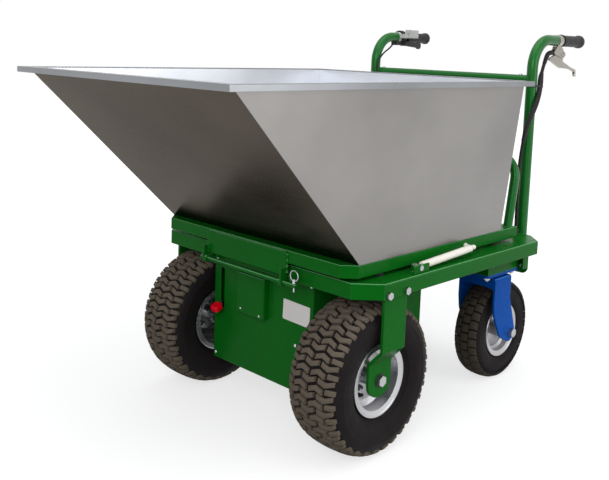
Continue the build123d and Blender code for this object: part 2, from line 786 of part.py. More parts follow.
# Gas springs: clevis on the deck, rod with an eye, cylinder with its stud at the tipping frame
spring_len = math.hypot(stud_y - clevis_y, stud_z - clevis_z)
spring_tilt = math.degrees(math.atan2(stud_z - clevis_z, stud_y - clevis_y))
spring_rest = Pos(spring_x, clevis_y, clevis_z) * Rot(spring_tilt, 0, 0)
clevis_base = block(-clevis_gap / 2 - clevis_t, clevis_gap / 2 + clevis_t, clevis_y - clevis_w / 2,
                    clevis_y + clevis_w / 2, deck_top, deck_top + clevis_foot)
cheek_face = Pos(clevis_y, clevis_z) * Circle(spring_eye_r)
cheek_face += Pos(clevis_y, (deck_top + clevis_z) / 2) * Rectangle(2 * spring_eye_r, clevis_z - deck_top)
cheek_face -= Pos(clevis_y, clevis_z) * Circle(clevis_bolt_r + hole_fit)
clevis = clevis_base + plate_yz(cheek_face, clevis_gap / 2, clevis_gap / 2 + clevis_t)
clevis += plate_yz(cheek_face, -clevis_gap / 2 - clevis_t, -clevis_gap / 2)
clevis = Pos(spring_x, 0, 0) * clevis
clevis_side = spring_x + clevis_gap / 2 + clevis_t
clevis_back = spring_x - clevis_gap / 2 - clevis_t
pivot = bar_x(clevis_bolt_r, clevis_back - clevis_nut_h, clevis_side, clevis_y, clevis_z)
pivot += hex_x(clevis_nut_af, clevis_side, clevis_side + clevis_nut_h, clevis_y, clevis_z)
pivot += hex_x(clevis_nut_af, clevis_back - clevis_nut_h, clevis_back, clevis_y, clevis_z)

gas_rod = bar_y(spring_rod_r, 0, spring_eye_r / 2, spring_rod_in, 0)
gas_rod += bar_x(spring_eye_r - 1, -spring_eye_w / 2, spring_eye_w / 2, 0, 0)
gas_rod -= bar_x(clevis_bolt_r + run_fit, -spring_eye_w, spring_eye_w, 0, 0)
gas_rod = spring_rest * gas_rod
spring_end = spring_len - spring_tail
cylinder = bar_y(spring_r, 0, spring_nose, spring_end, 0)
cylinder -= bar_y(spring_bore_r, 0, spring_nose + spring_nose_l, spring_end - spring_nose_l, 0)
cylinder -= bar_y(spring_rod_r + run_fit, 0, spring_nose, spring_end - spring_nose_l, 0)
cylinder += bar_y(stud_r, 0, spring_end - spring_nose_l / 2, spring_len, 0)
cylinder += Pos(0, spring_len, 0) * Sphere(stud_head_r)
stud_in = tip_half_w + slip - spring_x
cylinder += bar_x(stud_r, stud_in, 0, spring_len, 0)
cylinder += bar_x(stud_head_r, stud_in, stud_in + clevis_t, spring_len, 0)
cylinder = spring_rest * cylinder
write("spring_clevises", clevis, flip(clevis))
write("clevis_bolts", pivot, flip(pivot))
write("gas_rods", gas_rod, flip(gas_rod))
write("gas_cylinders", cylinder, flip(cylinder))


def hex_y(af, x, y0, y1, z):
    """Hexagon bar along Y."""
    face = RegularPolygon(af / 2, 6, major_radius=False)
    return Pos(x, max(y0, y1), z) * Rot(90, 0, 0) * extrude(face, amount=abs(y1 - y0))


# Handle posts: bent tubes that end in a thinner bar for the grip
bar_tip = grip_end - grip_cap - slip
post_path = [(post_x, post_y, post_foot), (post_x, post_y, handle_z), (post_x, bar_end, handle_z)]
bore_path = [(post_x, post_y, post_foot - slip), post_path[1], (post_x, bar_end - stub_plug, handle_z)]
post = bent_bar(Circle(post_r), post_path, post_bend)
post -= bent_bar(Circle(post_r - post_wall), bore_path, post_bend)
post += bar_y(stub_r, post_x, bar_end - stub_plug / 2, bar_tip, handle_z)

# Crossbar between the posts, coped to their round
crossbar = bar_x(cross_r, -post_x, post_x, post_y, cross_z)
crossbar -= bar_x(cross_r - post_wall, -post_x, post_x, post_y, cross_z)
cope = bent_bar(Circle(post_r + run_fit), post_path, post_bend)
crossbar -= [cope, flip(cope)]

# Saddles and U-bolts that hold the posts to the rear edge and to the apron
ubolt_x = post_r + ubolt_r + slip
saddles = []
ubolts = []
for z in saddle_zs:
    saddle = block(post_x - saddle_w / 2, post_x + saddle_w / 2, deck_rear, post_y - ubolt_r,
                   z - saddle_h / 2, z + saddle_h / 2)
    saddle -= bar_z(post_r + run_fit, post_x, post_y, z - saddle_h, z + saddle_h)
    bend = ThreePointArc((post_x - ubolt_x, post_y, z), (post_x, post_y + ubolt_x, z),
                         (post_x + ubolt_x, post_y, z))
    ubolt = sweep(Plane(bend @ 0, z_dir=bend % 0) * Circle(ubolt_r), path=bend)
    for x in (post_x - ubolt_x, post_x + ubolt_x):
        ubolt += bar_y(ubolt_r, x, leg_end, post_y, z)
        ubolt += hex_y(ubolt_nut_af, x, deck_rear - deck_t - ubolt_nut_h, deck_rear - deck_t, z)
        hole = bar_y(ubolt_r + hole_fit, x, leg_end, post_y, z)
        saddle -= hole
        flange_holes += [hole, flip(hole)]
    saddles += [saddle, flip(saddle)]
    ubolts += [ubolt, flip(ubolt)]

# Grips: moulded rubber with a waist and a flared end
flare_y = grip_end - grip_flare_l
grip_lines = Polyline((stub_r + run_fit, bar_tip), (stub_r + run_fit, grip_start),
                      (grip_r + grip_bead, grip_start), (grip_r + grip_bead, grip_start + grip_bead),
                      (grip_r, grip_start + 2 * grip_bead))
grip_lines += ThreePointArc((grip_r, grip_start + 2 * grip_bead),
                            (grip_waist_r, (grip_start + flare_y) / 2), (grip_r, flare_y))
grip_lines += Polyline((grip_r, flare_y), (grip_flare_r, flare_y + grip_flare_l / 3),
                       (grip_flare_r, grip_end - grip_cap), (grip_flare_r - grip_cap, grip_end),
                       (0, grip_end), (0, bar_tip), (stub_r + run_fit, bar_tip))
grip = Pos(post_x, 0, handle_z) * revolve(make_face(grip_lines), axis=Axis.Y)

write("chassis_deck", deck_plate, *[flange - flange_holes for flange in flanges], lug, flip(lug))
write("rear_apron", apron - flange_holes, apron_side, flip(apron_side))
write("left_handle_post", post)
write("right_handle_post", flip(post))
write("handle_crossbar", crossbar)
write("post_saddles", *saddles)
write("post_u_bolts", *ubolts)
write("handle_grips", grip, flip(grip))


def hull_of(*circles):
    """Outline round a row of (y, z, radius) circles."""
    edges = [(Pos(y, z) * Circle(r)).edges()[0] for y, z, r in circles]
    return make_hull(edges)


# Brake perch: clamp band, two cheeks, pivot pin and cable barrel
cheek_in = blade_t / 2 + slip
cheek_out = cheek_in + cheek_t
barrel_z = perch_z + barrel_r
band_z = handle_z - clamp_r
cheek_face = hull_of((perch_y, perch_z, 2.6 * pivot_r), (barrel_y + 2 * barrel_r, barrel_z, barrel_r),
                     (clamp_y0 + pivot_r, band_z, pivot_r), (clamp_y1 - pivot_r, band_z, pivot_r))
perch = bar_y(clamp_r, 0, clamp_y0, clamp_y1, handle_z)
perch += block(-cheek_out, cheek_out, clamp_y0, clamp_y1, band_z - pivot_r, handle_z)
perch += plate_yz(cheek_face, cheek_in, cheek_out)
perch += plate_yz(cheek_face, -cheek_out, -cheek_in)
perch += bar_y(barrel_r, 0, barrel_y, barrel_y + 4 * barrel_r, barrel_z)
perch += bar_x(pivot_r, -cheek_out, cheek_out, perch_y, perch_z)
perch -= bar_y(stub_r + run_fit, 0, clamp_y0, clamp_y1, handle_z)
perch = Pos(post_x, 0, 0) * perch

# Brake lever: cast blade from the front arm over the belly to the ball end
belly = (perch_y + belly_reach, perch_z - blade_drop, belly_r)
finger = (perch_y + finger_reach, perch_z - finger_fall, finger_r)
neck = (perch_y + neck_reach, perch_z - neck_fall, neck_r)
hook = (perch_y + hook_reach, perch_z - hook_fall, hook_r)
ball = (perch_y + lever_reach, perch_z - lever_fall, lever_end_r)
arm = (perch_y - lever_arm, perch_z - arm_fall, arm_r)
blade_face = hull_of((perch_y, perch_z, 2.5 * pivot_r), belly, arm) + hull_of(belly, finger)
blade_face += hull_of(finger, neck) + hull_of(neck, hook) + hull_of(hook, ball)
blade_face -= Pos(perch_y, perch_z) * Circle(pivot_r + run_fit)
brake_lever = plate_yz(blade_face, -blade_t / 2, blade_t / 2)
brake_lever += Pos(0, ball[0], ball[1]) * Sphere(lever_ball_r)
brake_lever = Pos(post_x, 0, 0) * brake_lever

# Throttle housing: collar on the tube, body under it and boss for the thumb lever
body_z0 = handle_z - body_drop
housing = block(-body_half_w, body_half_w, body_y0, collar_y1, body_z0, handle_z - body_half_w)
housing = fillet(housing.edges().filter_by(Axis.Y).group_by(Axis.Z)[0], body_half_w / 3)
housing += bar_y(collar_r, 0, collar_y0, collar_y1, handle_z)
boss_end = thumb_x - thumb_t / 2 - slip
housing += bar_x(2 * thumb_pin_r, 0, boss_end, thumb_y, thumb_z)
housing += bar_x(thumb_pin_r, 0, thumb_x + thumb_t / 2, thumb_y, thumb_z)
housing -= bar_y(post_r + run_fit, 0, body_y0, collar_y1, handle_z)
housing -= bar_y(band_r + slip, 0, band_y0 - slip, band_y1 + slip, handle_z)
housing = Pos(-post_x, 0, 0) * housing

# Thumb lever with a round pad
thumb_face = hull_of((thumb_y, thumb_z, 2 * thumb_pin_r),
                     (thumb_y + thumb_l, thumb_z - thumb_drop, 0.7 * pad_r))
thumb_face += Pos(thumb_y + thumb_l, thumb_z - thumb_drop) * Circle(pad_r)
thumb_face -= Pos(thumb_y, thumb_z) * Circle(thumb_pin_r + run_fit)
thumb = plate_yz(thumb_face, thumb_x - thumb_t / 2, thumb_x + thumb_t / 2)
thumb = Pos(-post_x, 0, 0) * thumb

# Switch box on the inner side of the bar: clamp band, bridge, box and push button
box_z = handle_z - box_below
box_x = box_in - post_x
switch = block(box_x, box_x + box_w, box_y0, box_y1, box_z, box_z + box_h)
switch = fillet(switch.edges().filter_by(Axis.Y), box_fillet)
bridge_top = box_z + box_h / 2
switch += block(band_r - box_fillet - post_x, box_x + box_w / 2, band_y0, box_y0, box_z, bridge_top)
switch += bar_y(band_r, -post_x, band_y0, band_y1, handle_z)
switch -= bar_y(post_r + run_fit, -post_x, band_y0, box_y0, handle_z)
button_x = box_x + box_w / 2
button_z = box_z + button_up
switch -= bar_y(button_r + slip, button_x, box_y0 - button_h, box_y0 + button_in + button_travel + slip,
                button_z)
button = bar_y(button_r, button_x, box_y0 - button_h, box_y0 + button_in, button_z)

write("brake_perch", perch)
write("brake_lever", brake_lever)
write("throttle_housing", housing)
write("throttle_lever", thumb)
write("switch_box", switch)
write("switch_button", button)


def cable(points, r):
    """Round cable through the points, each bend as large as its two runs allow."""
    path = [Vector(*p) for p in points]
    radii = []
    for a, b, c in zip(path, path[1:], path[2:]):
        turn = math.radians((b - a).get_angle(c - b))
        radii.append(0.45 * min((b - a).length, (c - b).length) / math.tan(turn / 2))
    shape = bent_bar(Circle(r), points, radii)
    length = FilletPolyline(*points, radius=radii).length
    print("cable", round(length), "mm, bends", [round(v) for v in radii])
    print("volume share", round(shape.volume / (math.pi * r * r * length), 4))
    return shape


# Control cables from the levers along the posts to glands in the deck
rise = handle_z - gland_top
gland_y = post_y - gland_in
brake_route = [(post_x, barrel_y, barrel_z), (post_x, barrel_y - 4 * brake_cable_r, barrel_z)]
brake_route += [(post_x + x, post_y + y, gland_top + z * rise) for x, y, z in brake_run]
brake_route += [(brake_route[-1][0], gland_y, gland_top + gland_h)]
brake_route += [(brake_route[-1][0], gland_y, gland_top)]
entry_x = body_half_w - 2 * throttle_cable_r - post_x
entry_z = body_z0 + 2 * throttle_cable_r
throttle_route = [(entry_x, body_y0, entry_z), (entry_x, body_y0 - 4 * throttle_cable_r, entry_z)]
throttle_route += [(-post_x - x, post_y + y, gland_top + z * rise) for x, y, z in throttle_run]
throttle_route += [(-post_x, gland_y, gland_top + 2 * gland_h), (-post_x, gland_y, gland_top)]
brake_cable = cable(brake_route, brake_cable_r)
throttle_cable = cable(throttle_route, throttle_cable_r)
glands = []
for end in (brake_route[-1], throttle_route[-1]):
    glands.append(bar_z(gland_r, end[0], end[1], deck_top, gland_top))

write("brake_cable", brake_cable)
write("throttle_cable", throttle_cable)
write("cable_glands", *glands)


def tyre(r, w, bead_x, bead_r, flange_r, wall, crown, grooves, groove_w, groove_h):
    """Hollow tyre turned about X: beads, bulging sidewalls, crown and tread grooves."""
    edge_x = w * crown
    edge_r = r - groove_h * 1.5
    mid_r = (flange_r + edge_r) / 2
    half = [ThreePointArc((bead_x, flange_r), (w / 2, mid_r), (edge_x, edge_r))]
    half += [Line((bead_x, flange_r), (bead_x, bead_r)), Line((bead_x, bead_r), (bead_x - wall, bead_r))]
    half += [Line((bead_x - wall, bead_r), (bead_x - wall, flange_r))]
    inner_edge = (edge_x - wall * 0.7, edge_r - wall - groove_h)
    half += [ThreePointArc((bead_x - wall, flange_r), (w / 2 - wall, mid_r), inner_edge)]
    lines = half + [mirror(line, about=Plane.YZ) for line in half]
    lines += [ThreePointArc((-edge_x, edge_r), (0, r), (edge_x, edge_r))]
    top = (0, r - wall - groove_h)
    lines += [ThreePointArc((-inner_edge[0], inner_edge[1]), top, inner_edge)]
    body = revolve(make_face(lines), axis=Axis.X)
    for x in grooves:
        ring = Pos(x, 0) * Pos(0, r) * Rectangle(groove_w, 2 * groove_h)
        body -= revolve(ring, axis=Axis.X)
    return body


def rim(half_w, flange_r, seat_r, well_r, wall, disc_x0, bore_r):
    """Pressed rim turned about X: flanges, bead seats, well and disc."""
    edge = half_w - wall
    side = [(edge, flange_r), (edge - wall, seat_r), (half_w / 3, seat_r), (half_w / 4, well_r)]
    path = side + [(-x, r) for x, r in reversed(side)]
    body = revolve(bent_sheet(path, wall), axis=Axis.X)
    for x in (-edge, edge):
        body += revolve(Pos(x, flange_r - rim_bead_r) * Circle(rim_bead_r), axis=Axis.X)
    disc_r = well_r - wall / 2
    disc = Pos(disc_x0 + wall / 2, (bore_r + disc_r) / 2) * Rectangle(wall, disc_r - bore_r)
    return body + revolve(disc, axis=Axis.X)


def half_shaft(inner_x):
    """Drive shaft, hub flange, hub boss, bearing journal and hexagon end, from the gearbox outward."""
    flange_x = disc_x - hub_flange_t
    boss_x = strut_x - strut_t - slip
    nut_x = strut_x + bush_flange_t + slip
    steps = [(inner_x, flange_x, shaft_drive_r), (flange_x, disc_x, hub_flange_r)]
    steps += [(disc_x, boss_x, hub_boss_r), (boss_x, nut_x + axle_nut_h, shaft_r)]
    outline = [(inner_x, 0)]
    for x0, x1, r in steps:
        outline += [(x0, r), (x1, r)]
    outline += [(steps[-1][1], 0)]
    shaft = turned_x(outline, 0, axle_y, axle_z)
    return shaft + hex_x(axle_nut_af, nut_x, nut_x + axle_nut_h, axle_y, axle_z)


# Drive wheels
wheel_at = Pos(track_half, axle_y, axle_z)
bead_x = rim_half_w - 2 * rim_wall - slip
groove_xs = [-1.5 * groove_step, -groove_step / 2, groove_step / 2, 1.5 * groove_step]
drive_tyre = wheel_at * tyre(tyre_r, tyre_w, bead_x, rim_seat_r + slip, rim_flange_r + slip, tyre_wall,
                             tyre_crown, groove_xs, tread_groove_w, tread_depth)
drive_rim = wheel_at * rim(rim_half_w, rim_flange_r, rim_seat_r, rim_well_r, rim_wall, rim_disc_x,
                           hub_boss_r + run_fit)
left_shaft = half_shaft(gearbox_x1 - shaft_in + slip)
right_shaft = half_shaft(slip - gearbox_x0 - shaft_in)
write("left_drive_tyre", drive_tyre)
write("right_drive_tyre", flip(drive_tyre))
write("left_drive_rim", drive_rim)
write("right_drive_rim", flip(drive_rim))
write("left_half_shaft", left_shaft)
write("right_half_shaft", flip(right_shaft))

# Caster forks: pressed crown round the kingpin and two legs that sweep back to the axle
leg_out = fork_gap / 2 + fork_t
leg_waist = crown_top - fork_drop
leg_edges = hull_of((fork_corner - fork_front, leg_waist, fork_corner),
                    (fork_knee_y, caster_r + fork_knee_up, fork_knee_r),
                    (caster_trail - fork_calf_back, caster_r + fork_calf_up, fork_calf_r),
                    (caster_trail, caster_r, fork_eye_r), (fork_rear - fork_corner, leg_waist, fork_corner))
leg_edges += Pos((fork_rear - fork_front) / 2, crown_top - fork_drop / 2) * Rectangle(
    fork_rear + fork_front, fork_drop)
fork = plate_yz(leg_edges, fork_gap / 2, leg_out) + plate_yz(leg_edges, -leg_out, -fork_gap / 2)
fork += block(-leg_out, leg_out, -fork_front, fork_rear, crown_bottom, crown_top)
fork = fillet(fork.edges().filter_by(Axis.Y).group_by(Axis.Z)[-1], fork_fold_r)
fork += bar_z(race_r, 0, 0, crown_bottom, crown_top)
fork -= bar_z(kingpin_r + run_fit, 0, 0, crown_bottom, crown_top)
fork -= bar_x(caster_axle_r + hole_fit, -leg_out, leg_out, caster_trail, caster_r)
fork = Pos(caster_x, caster_y, 0) * fork

# Caster axle bolt with sleeves, head and nut, and the wheel on it
sleeve_end = leg_out + caster_sleeve_l
axle = bar_x(caster_axle_r, -leg_out, leg_out, 0, 0)
for side in (-1, 1):
    axle += bar_x(caster_sleeve_r, side * leg_out, side * sleeve_end, 0, 0)
    axle += hex_x(caster_nut_af, side * sleeve_end, side * (sleeve_end + caster_nut_h), 0, 0)
caster_at = Pos(caster_x, caster_axle_y, caster_r)
axle = caster_at * axle
hub_end = fork_gap / 2 - slip
caster_bead_x = caster_rim_half_w - 2 * rim_wall - slip
caster_tyre = caster_at * tyre(caster_r, caster_w, caster_bead_x, caster_seat_r + slip, caster_rim_r + slip,
                               caster_tyre_wall, caster_crown, [-caster_groove_x, caster_groove_x],
                               caster_groove, caster_groove)
caster_rim = rim(caster_rim_half_w, caster_rim_r, caster_seat_r, caster_well_r, rim_wall, -rim_wall / 2,
                 caster_hub_r)
caster_rim += bar_x(caster_hub_r, -hub_end, hub_end, 0, 0)
caster_rim -= bar_x(caster_axle_r + run_fit, -fork_gap, fork_gap, 0, 0)
caster_rim = caster_at * caster_rim
for name, turn in (("left", lambda s: s), ("right", flip)):
    write(f"{name}_caster_fork", turn(fork))
    write(f"{name}_caster_axle", turn(axle))
    write(f"{name}_caster_rim", turn(caster_rim))
    write(f"{name}_caster_tyre", turn(caster_tyre))
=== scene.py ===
# %% [markdown]
# # A battery wheelbarrow, dressed
# The CAD frame already holds every solid where it belongs. This lesson gives each surface its
# finish and adds what a solid model leaves out: tyre treads, welds, screws, cable sleeves and dust.
# The frame is in metres, with +Z up and the handles towards +Y. New pieces are drawn in millimetres
# and scaled. The joints of the frame say where wheels and levers turn, so those places are read there.

# %% Load the frame
import json
import math
import bmesh
import bpy
from mathutils import Matrix, Vector


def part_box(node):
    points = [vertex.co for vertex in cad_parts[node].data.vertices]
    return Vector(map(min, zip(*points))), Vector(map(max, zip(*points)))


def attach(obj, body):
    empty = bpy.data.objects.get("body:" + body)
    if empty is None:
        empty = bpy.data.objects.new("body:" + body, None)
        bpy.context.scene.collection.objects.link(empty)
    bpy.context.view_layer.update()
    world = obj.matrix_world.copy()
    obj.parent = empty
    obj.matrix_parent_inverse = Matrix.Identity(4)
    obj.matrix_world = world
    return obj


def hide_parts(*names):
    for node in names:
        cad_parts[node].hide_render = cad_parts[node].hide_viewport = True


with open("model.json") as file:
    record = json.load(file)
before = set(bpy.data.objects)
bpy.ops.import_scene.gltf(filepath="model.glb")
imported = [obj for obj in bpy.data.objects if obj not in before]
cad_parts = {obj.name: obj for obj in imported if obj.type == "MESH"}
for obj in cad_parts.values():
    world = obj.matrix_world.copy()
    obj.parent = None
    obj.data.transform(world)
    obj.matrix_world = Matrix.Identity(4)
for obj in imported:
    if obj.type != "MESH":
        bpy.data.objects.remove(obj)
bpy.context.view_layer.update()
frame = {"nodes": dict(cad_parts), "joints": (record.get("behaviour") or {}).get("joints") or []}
nodes = frame["nodes"]
MM = 0.001
joints = {joint["child"]: joint for joint in frame["joints"]}
pivots = {child: Vector(joint["pos_m"]) / MM for child, joint in joints.items()}

# %% [markdown]
# ## The camera
# The photograph was taken from the front left, at about the height of the handles. Its picture was
# cropped, so the optical axis is above the middle of the frame. A small vertical shift of the lens does
# the same here, and the uprights lean together as little as they do in the photograph.

# %% Camera
eye = Vector((1.5315, -1.72315, 0.9757))
yaw, pitch, roll = math.radians(-44.41), math.radians(6.88), math.radians(2.0)
ahead = Vector((math.sin(yaw) * math.cos(pitch), math.cos(yaw) * math.cos(pitch), -math.sin(pitch)))
level = Vector((math.cos(yaw), -math.sin(yaw), 0))
over = level.cross(ahead)
cam_x = level * math.cos(roll) + over * math.sin(roll)
cam_y = over * math.cos(roll) - level * math.sin(roll)
turn = Matrix((cam_x, cam_y, -ahead)).transposed().to_4x4()
lens = bpy.data.cameras.new("photo_lens")
lens.lens = 48.52
lens.sensor_width = 36.0
lens.shift_y = -0.154
scene = bpy.context.scene
camera = bpy.data.objects.new("photo_camera", lens)
camera.matrix_world = Matrix.Translation(eye) @ turn
scene.collection.objects.link(camera)
scene.camera = camera
print("camera at", [round(v, 3) for v in eye])

# %% [markdown]
# ## Light and floor
# A product shot is lit by large soft sources. One sheet of light hangs over the barrow, a second
# stands in front of it and a weak third lights its left side from a little behind. The world fills the
# rest. The background is white to every ray that can show it, and the floor still takes the shadow.
# Away from the barrow the floor glows more, so that it runs into the background without a line.

# %% Helpers for shader nodes
def node(tree, kind, **settings):
    """New node with its settings and its unlinked inputs, which are given as in_NAME."""
    made = tree.nodes.new("ShaderNode" + kind)
    for key, value in settings.items():
        if key.startswith("in_"):
            made.inputs[key[3:].replace("_", " ")].default_value = value
        else:
            setattr(made, key, value)
    return made


def math_node(tree, operation, first, second):
    """Two values joined by a sum, product or other operation, and held between 0 and 1."""
    made = node(tree, "Math", operation=operation, use_clamp=True)
    for socket, value in zip(made.inputs, (first, second)):
        if isinstance(value, (int, float)):
            socket.default_value = value
        else:
            tree.links.new(value, socket)
    return made.outputs[0]


def two_ways(tree, lighting, showing, target):
    """One shader for the rays that light the barrow, another for those that can show the background."""
    rays = node(tree, "LightPath")
    shown = math_node(tree, "MAXIMUM", rays.outputs["Is Camera Ray"], rays.outputs["Is Glossy Ray"])
    shown = math_node(tree, "MAXIMUM", shown, rays.outputs["Is Transmission Ray"])
    pick = node(tree, "MixShader")
    for socket, source in zip(pick.inputs, (shown, lighting.outputs[0], showing.outputs[0])):
        tree.links.new(source, socket)
    tree.links.new(pick.outputs[0], node(tree, target).inputs[0])


print("shader node helpers ready")


# %% Light
def softbox(name, place, aim, size, power):
    """Square area light at a place, facing a point."""
    data = bpy.data.lights.new(name, "AREA")
    data.shape = "SQUARE"
    data.size = size
    data.energy = power
    lamp = bpy.data.objects.new(name, data)
    lamp.location = place
    lamp.rotation_euler = (Vector(aim) - Vector(place)).to_track_quat("-Z", "Y").to_euler()
    scene.collection.objects.link(lamp)


scene.view_settings.view_transform = "Standard"
softbox("overhead_light", (0.3, -0.4, 3.4), aim=(0, 0, 0.4), size=3.2, power=62)
softbox("key_light", (1.9, -3.1, 2.1), aim=(0, -0.2, 0.5), size=2.2, power=60)
softbox("side_light", (3.0, 0.9, 1.5), aim=(0.2, 0.1, 0.5), size=2.0, power=34)
world = bpy.data.worlds.new("studio")
scene.world = world
world.use_nodes = True
sky = world.node_tree
sky.nodes.clear()
dim = node(sky, "Background", in_Color=(0.93, 0.96, 1.0, 1), in_Strength=0.42)
white = node(sky, "Background", in_Color=(1, 1, 1, 1), in_Strength=1.0)
two_ways(sky, dim, white, "OutputWorld")

# %% Floor
FLOOR_RADIUS = 14.0
bm = bmesh.new()
bmesh.ops.create_circle(bm, cap_ends=True, segments=96, radius=FLOOR_RADIUS)
ground = bpy.data.meshes.new("studio_floor")
bm.to_mesh(ground)
bm.free()
floor = bpy.data.objects.new("studio_floor", ground)
scene.collection.objects.link(floor)
pale = bpy.data.materials.new("studio_floor")
pale.use_nodes = True
tree = pale.node_tree
tree.nodes.clear()
plain = node(tree, "BsdfDiffuse", in_Color=(0.28, 0.28, 0.28, 1))
matt = node(tree, "BsdfDiffuse", in_Color=(0.42, 0.42, 0.42, 1))
glow = node(tree, "Emission")
far = node(tree, "VectorMath", operation="LENGTH")
fade = node(tree, "MapRange", interpolation_type="SMOOTHSTEP", in_From_Min=0.9, in_From_Max=2.6,
            in_To_Min=0.68, in_To_Max=1.0)
both = node(tree, "AddShader")
tree.links.new(node(tree, "TexCoord").outputs["Object"], far.inputs[0])
tree.links.new(far.outputs["Value"], fade.inputs["Value"])
tree.links.new(fade.outputs[0], glow.inputs["Strength"])
tree.links.new(matt.outputs[0], both.inputs[0])
tree.links.new(glow.outputs[0], both.inputs[1])
two_ways(tree, plain, both, "OutputMaterial")
ground.materials.append(pale)
print("floor faces:", len(ground.polygons))

# %% [markdown]
# ## Shared effects
# Paint, sheet metal and rubber each show the same small faults wherever they are used, so each
# effect is a node group that is built once. A group gives out colours, values and heights, and
# the shader stays in the material. Object coordinates keep the patterns still when a part moves.

# %% Helpers for node groups
COLOUR, VALUE, VECTOR = "NodeSocketColor", "NodeSocketFloat", "NodeSocketVector"


def effect(name, takes, gives):
    """Empty shader node group with named inputs and outputs."""
    tree = bpy.data.node_groups.new(name, "ShaderNodeTree")
    for label, kind, value in takes:
        tree.interface.new_socket(name=label, in_out="INPUT", socket_type=kind).default_value = value
    for label, kind in gives:
        tree.interface.new_socket(name=label, in_out="OUTPUT", socket_type=kind)
    return tree, tree.nodes.new("NodeGroupInput"), tree.nodes.new("NodeGroupOutput")


def noise(tree, scale, detail=2.0, low=0.0, high=1.0, source=None):
    """Noise on Object coordinates, or on a given vector, whose usual range is spread between two values."""
    if source is None:
        source = node(tree, "TexCoord").outputs["Object"]
    cloud = node(tree, "TexNoise", in_Scale=scale, in_Detail=detail)
    spread = node(tree, "MapRange", in_From_Min=0.3, in_From_Max=0.7, in_To_Min=low, in_To_Max=high)
    tree.links.new(source, cloud.inputs["Vector"])
    tree.links.new(cloud.outputs[0], spread.inputs["Value"])
    return spread.outputs[0]


def blend_colour(tree, mask, under, over):
    """Second colour laid over the first where the mask is white."""
    made = node(tree, "Mix", data_type="RGBA")
    tree.links.new(mask, made.inputs["Factor"])
    for socket, value in ((made.inputs[6], under), (made.inputs[7], over)):
        if isinstance(value, tuple):
            socket.default_value = value
        else:
            tree.links.new(value, socket)
    return made.outputs[2]


print("node group helpers ready")

# %% Road dust
dust, start, end = effect("road_dust", [("Low", VALUE, 0.0), ("High", VALUE, 0.4), ("Amount", VALUE, 0.5)],
                          [("Mask", VALUE)])
height = node(dust, "SeparateXYZ")
dust.links.new(node(dust, "TexCoord").outputs["Object"], height.inputs[0])
fall = node(dust, "MapRange", in_To_Min=1.0, in_To_Max=0.0)
dust.links.new(height.outputs["Z"], fall.inputs["Value"])
dust.links.new(start.outputs["Low"], fall.inputs["From Min"])
dust.links.new(start.outputs["High"], fall.inputs["From Max"])
patches = noise(dust, scale=7.0, detail=6.0, low=0.15)
settled = math_node(dust, "MULTIPLY", fall.outputs[0], patches)
dust.links.new(math_node(dust, "MULTIPLY", settled, start.outputs["Amount"]), end.inputs["Mask"])
print("group:", dust.name)

# %% Painted skin
DUST_TOP, DUST_COLOUR, SPECK_SHARE = 0.42, (0.17, 0.15, 0.12, 1), 0.35
skin, start, end = effect("paint_skin", [("Colour", COLOUR, (0.01, 0.14, 0.02, 1)), ("Dust", VALUE, 0.25)],
                          [("Colour", COLOUR), ("Roughness", VALUE), ("Peel", VALUE)])
shade = node(skin, "HueSaturation")
skin.links.new(start.outputs["Colour"], shade.inputs["Color"])
skin.links.new(noise(skin, scale=2.6, detail=4.0, low=0.86, high=1.1), shade.inputs["Value"])
film = node(skin, "Group", node_tree=dust)
film.inputs["High"].default_value = DUST_TOP
skin.links.new(start.outputs["Dust"], film.inputs["Amount"])
specks = math_node(skin, "MULTIPLY", noise(skin, scale=260.0, detail=1.0, low=-1.2, high=0.6), SPECK_SHARE)
specks = math_node(skin, "MULTIPLY", specks, start.outputs["Dust"])
dirty = math_node(skin, "ADD", film.outputs["Mask"], specks)
skin.links.new(blend_colour(skin, dirty, shade.outputs[0], DUST_COLOUR), end.inputs["Colour"])
gloss = noise(skin, scale=24.0, detail=4.0, low=0.2, high=0.33)
skin.links.new(math_node(skin, "ADD", gloss, dirty), end.inputs["Roughness"])
fine_peel = noise(skin, scale=330.0, detail=1.0, low=0.2, high=0.7)
wide_peel = noise(skin, scale=38.0, detail=2.0, high=0.3)
skin.links.new(math_node(skin, "ADD", fine_peel, wide_peel), end.inputs["Peel"])
print("group:", skin.name)

# %% Rolled sheet
LINE_SHARE = 0.06
rolled, start, end = effect("rolled_sheet", [("Colour", COLOUR, (0.5, 0.5, 0.5, 1)),
                                             ("Stretch", VECTOR, (3.0, 3.0, 300.0)), ("Gloss", VALUE, 0.3)],
                            [("Colour", COLOUR), ("Roughness", VALUE), ("Grain", VALUE)])
along = node(rolled, "VectorMath", operation="MULTIPLY")
rolled.links.new(node(rolled, "TexCoord").outputs["Object"], along.inputs[0])
rolled.links.new(start.outputs["Stretch"], along.inputs[1])
lines = noise(rolled, scale=1.0, detail=5.0, source=along.outputs[0])
cloudy = noise(rolled, scale=3.2, detail=3.0, low=0.88, high=1.1)
darker = math_node(rolled, "SUBTRACT", 1.06, cloudy)
shade = node(rolled, "HueSaturation")
rolled.links.new(start.outputs["Colour"], shade.inputs["Color"])
rolled.links.new(math_node(rolled, "SUBTRACT", 1.0, darker), shade.inputs["Value"])
rolled.links.new(shade.outputs[0], end.inputs["Colour"])
rough = math_node(rolled, "MULTIPLY", start.outputs["Gloss"], cloudy)
scored = math_node(rolled, "MULTIPLY", lines, LINE_SHARE)
rolled.links.new(math_node(rolled, "ADD", rough, scored), end.inputs["Roughness"])
rolled.links.new(lines, end.inputs["Grain"])
print("group:", rolled.name)

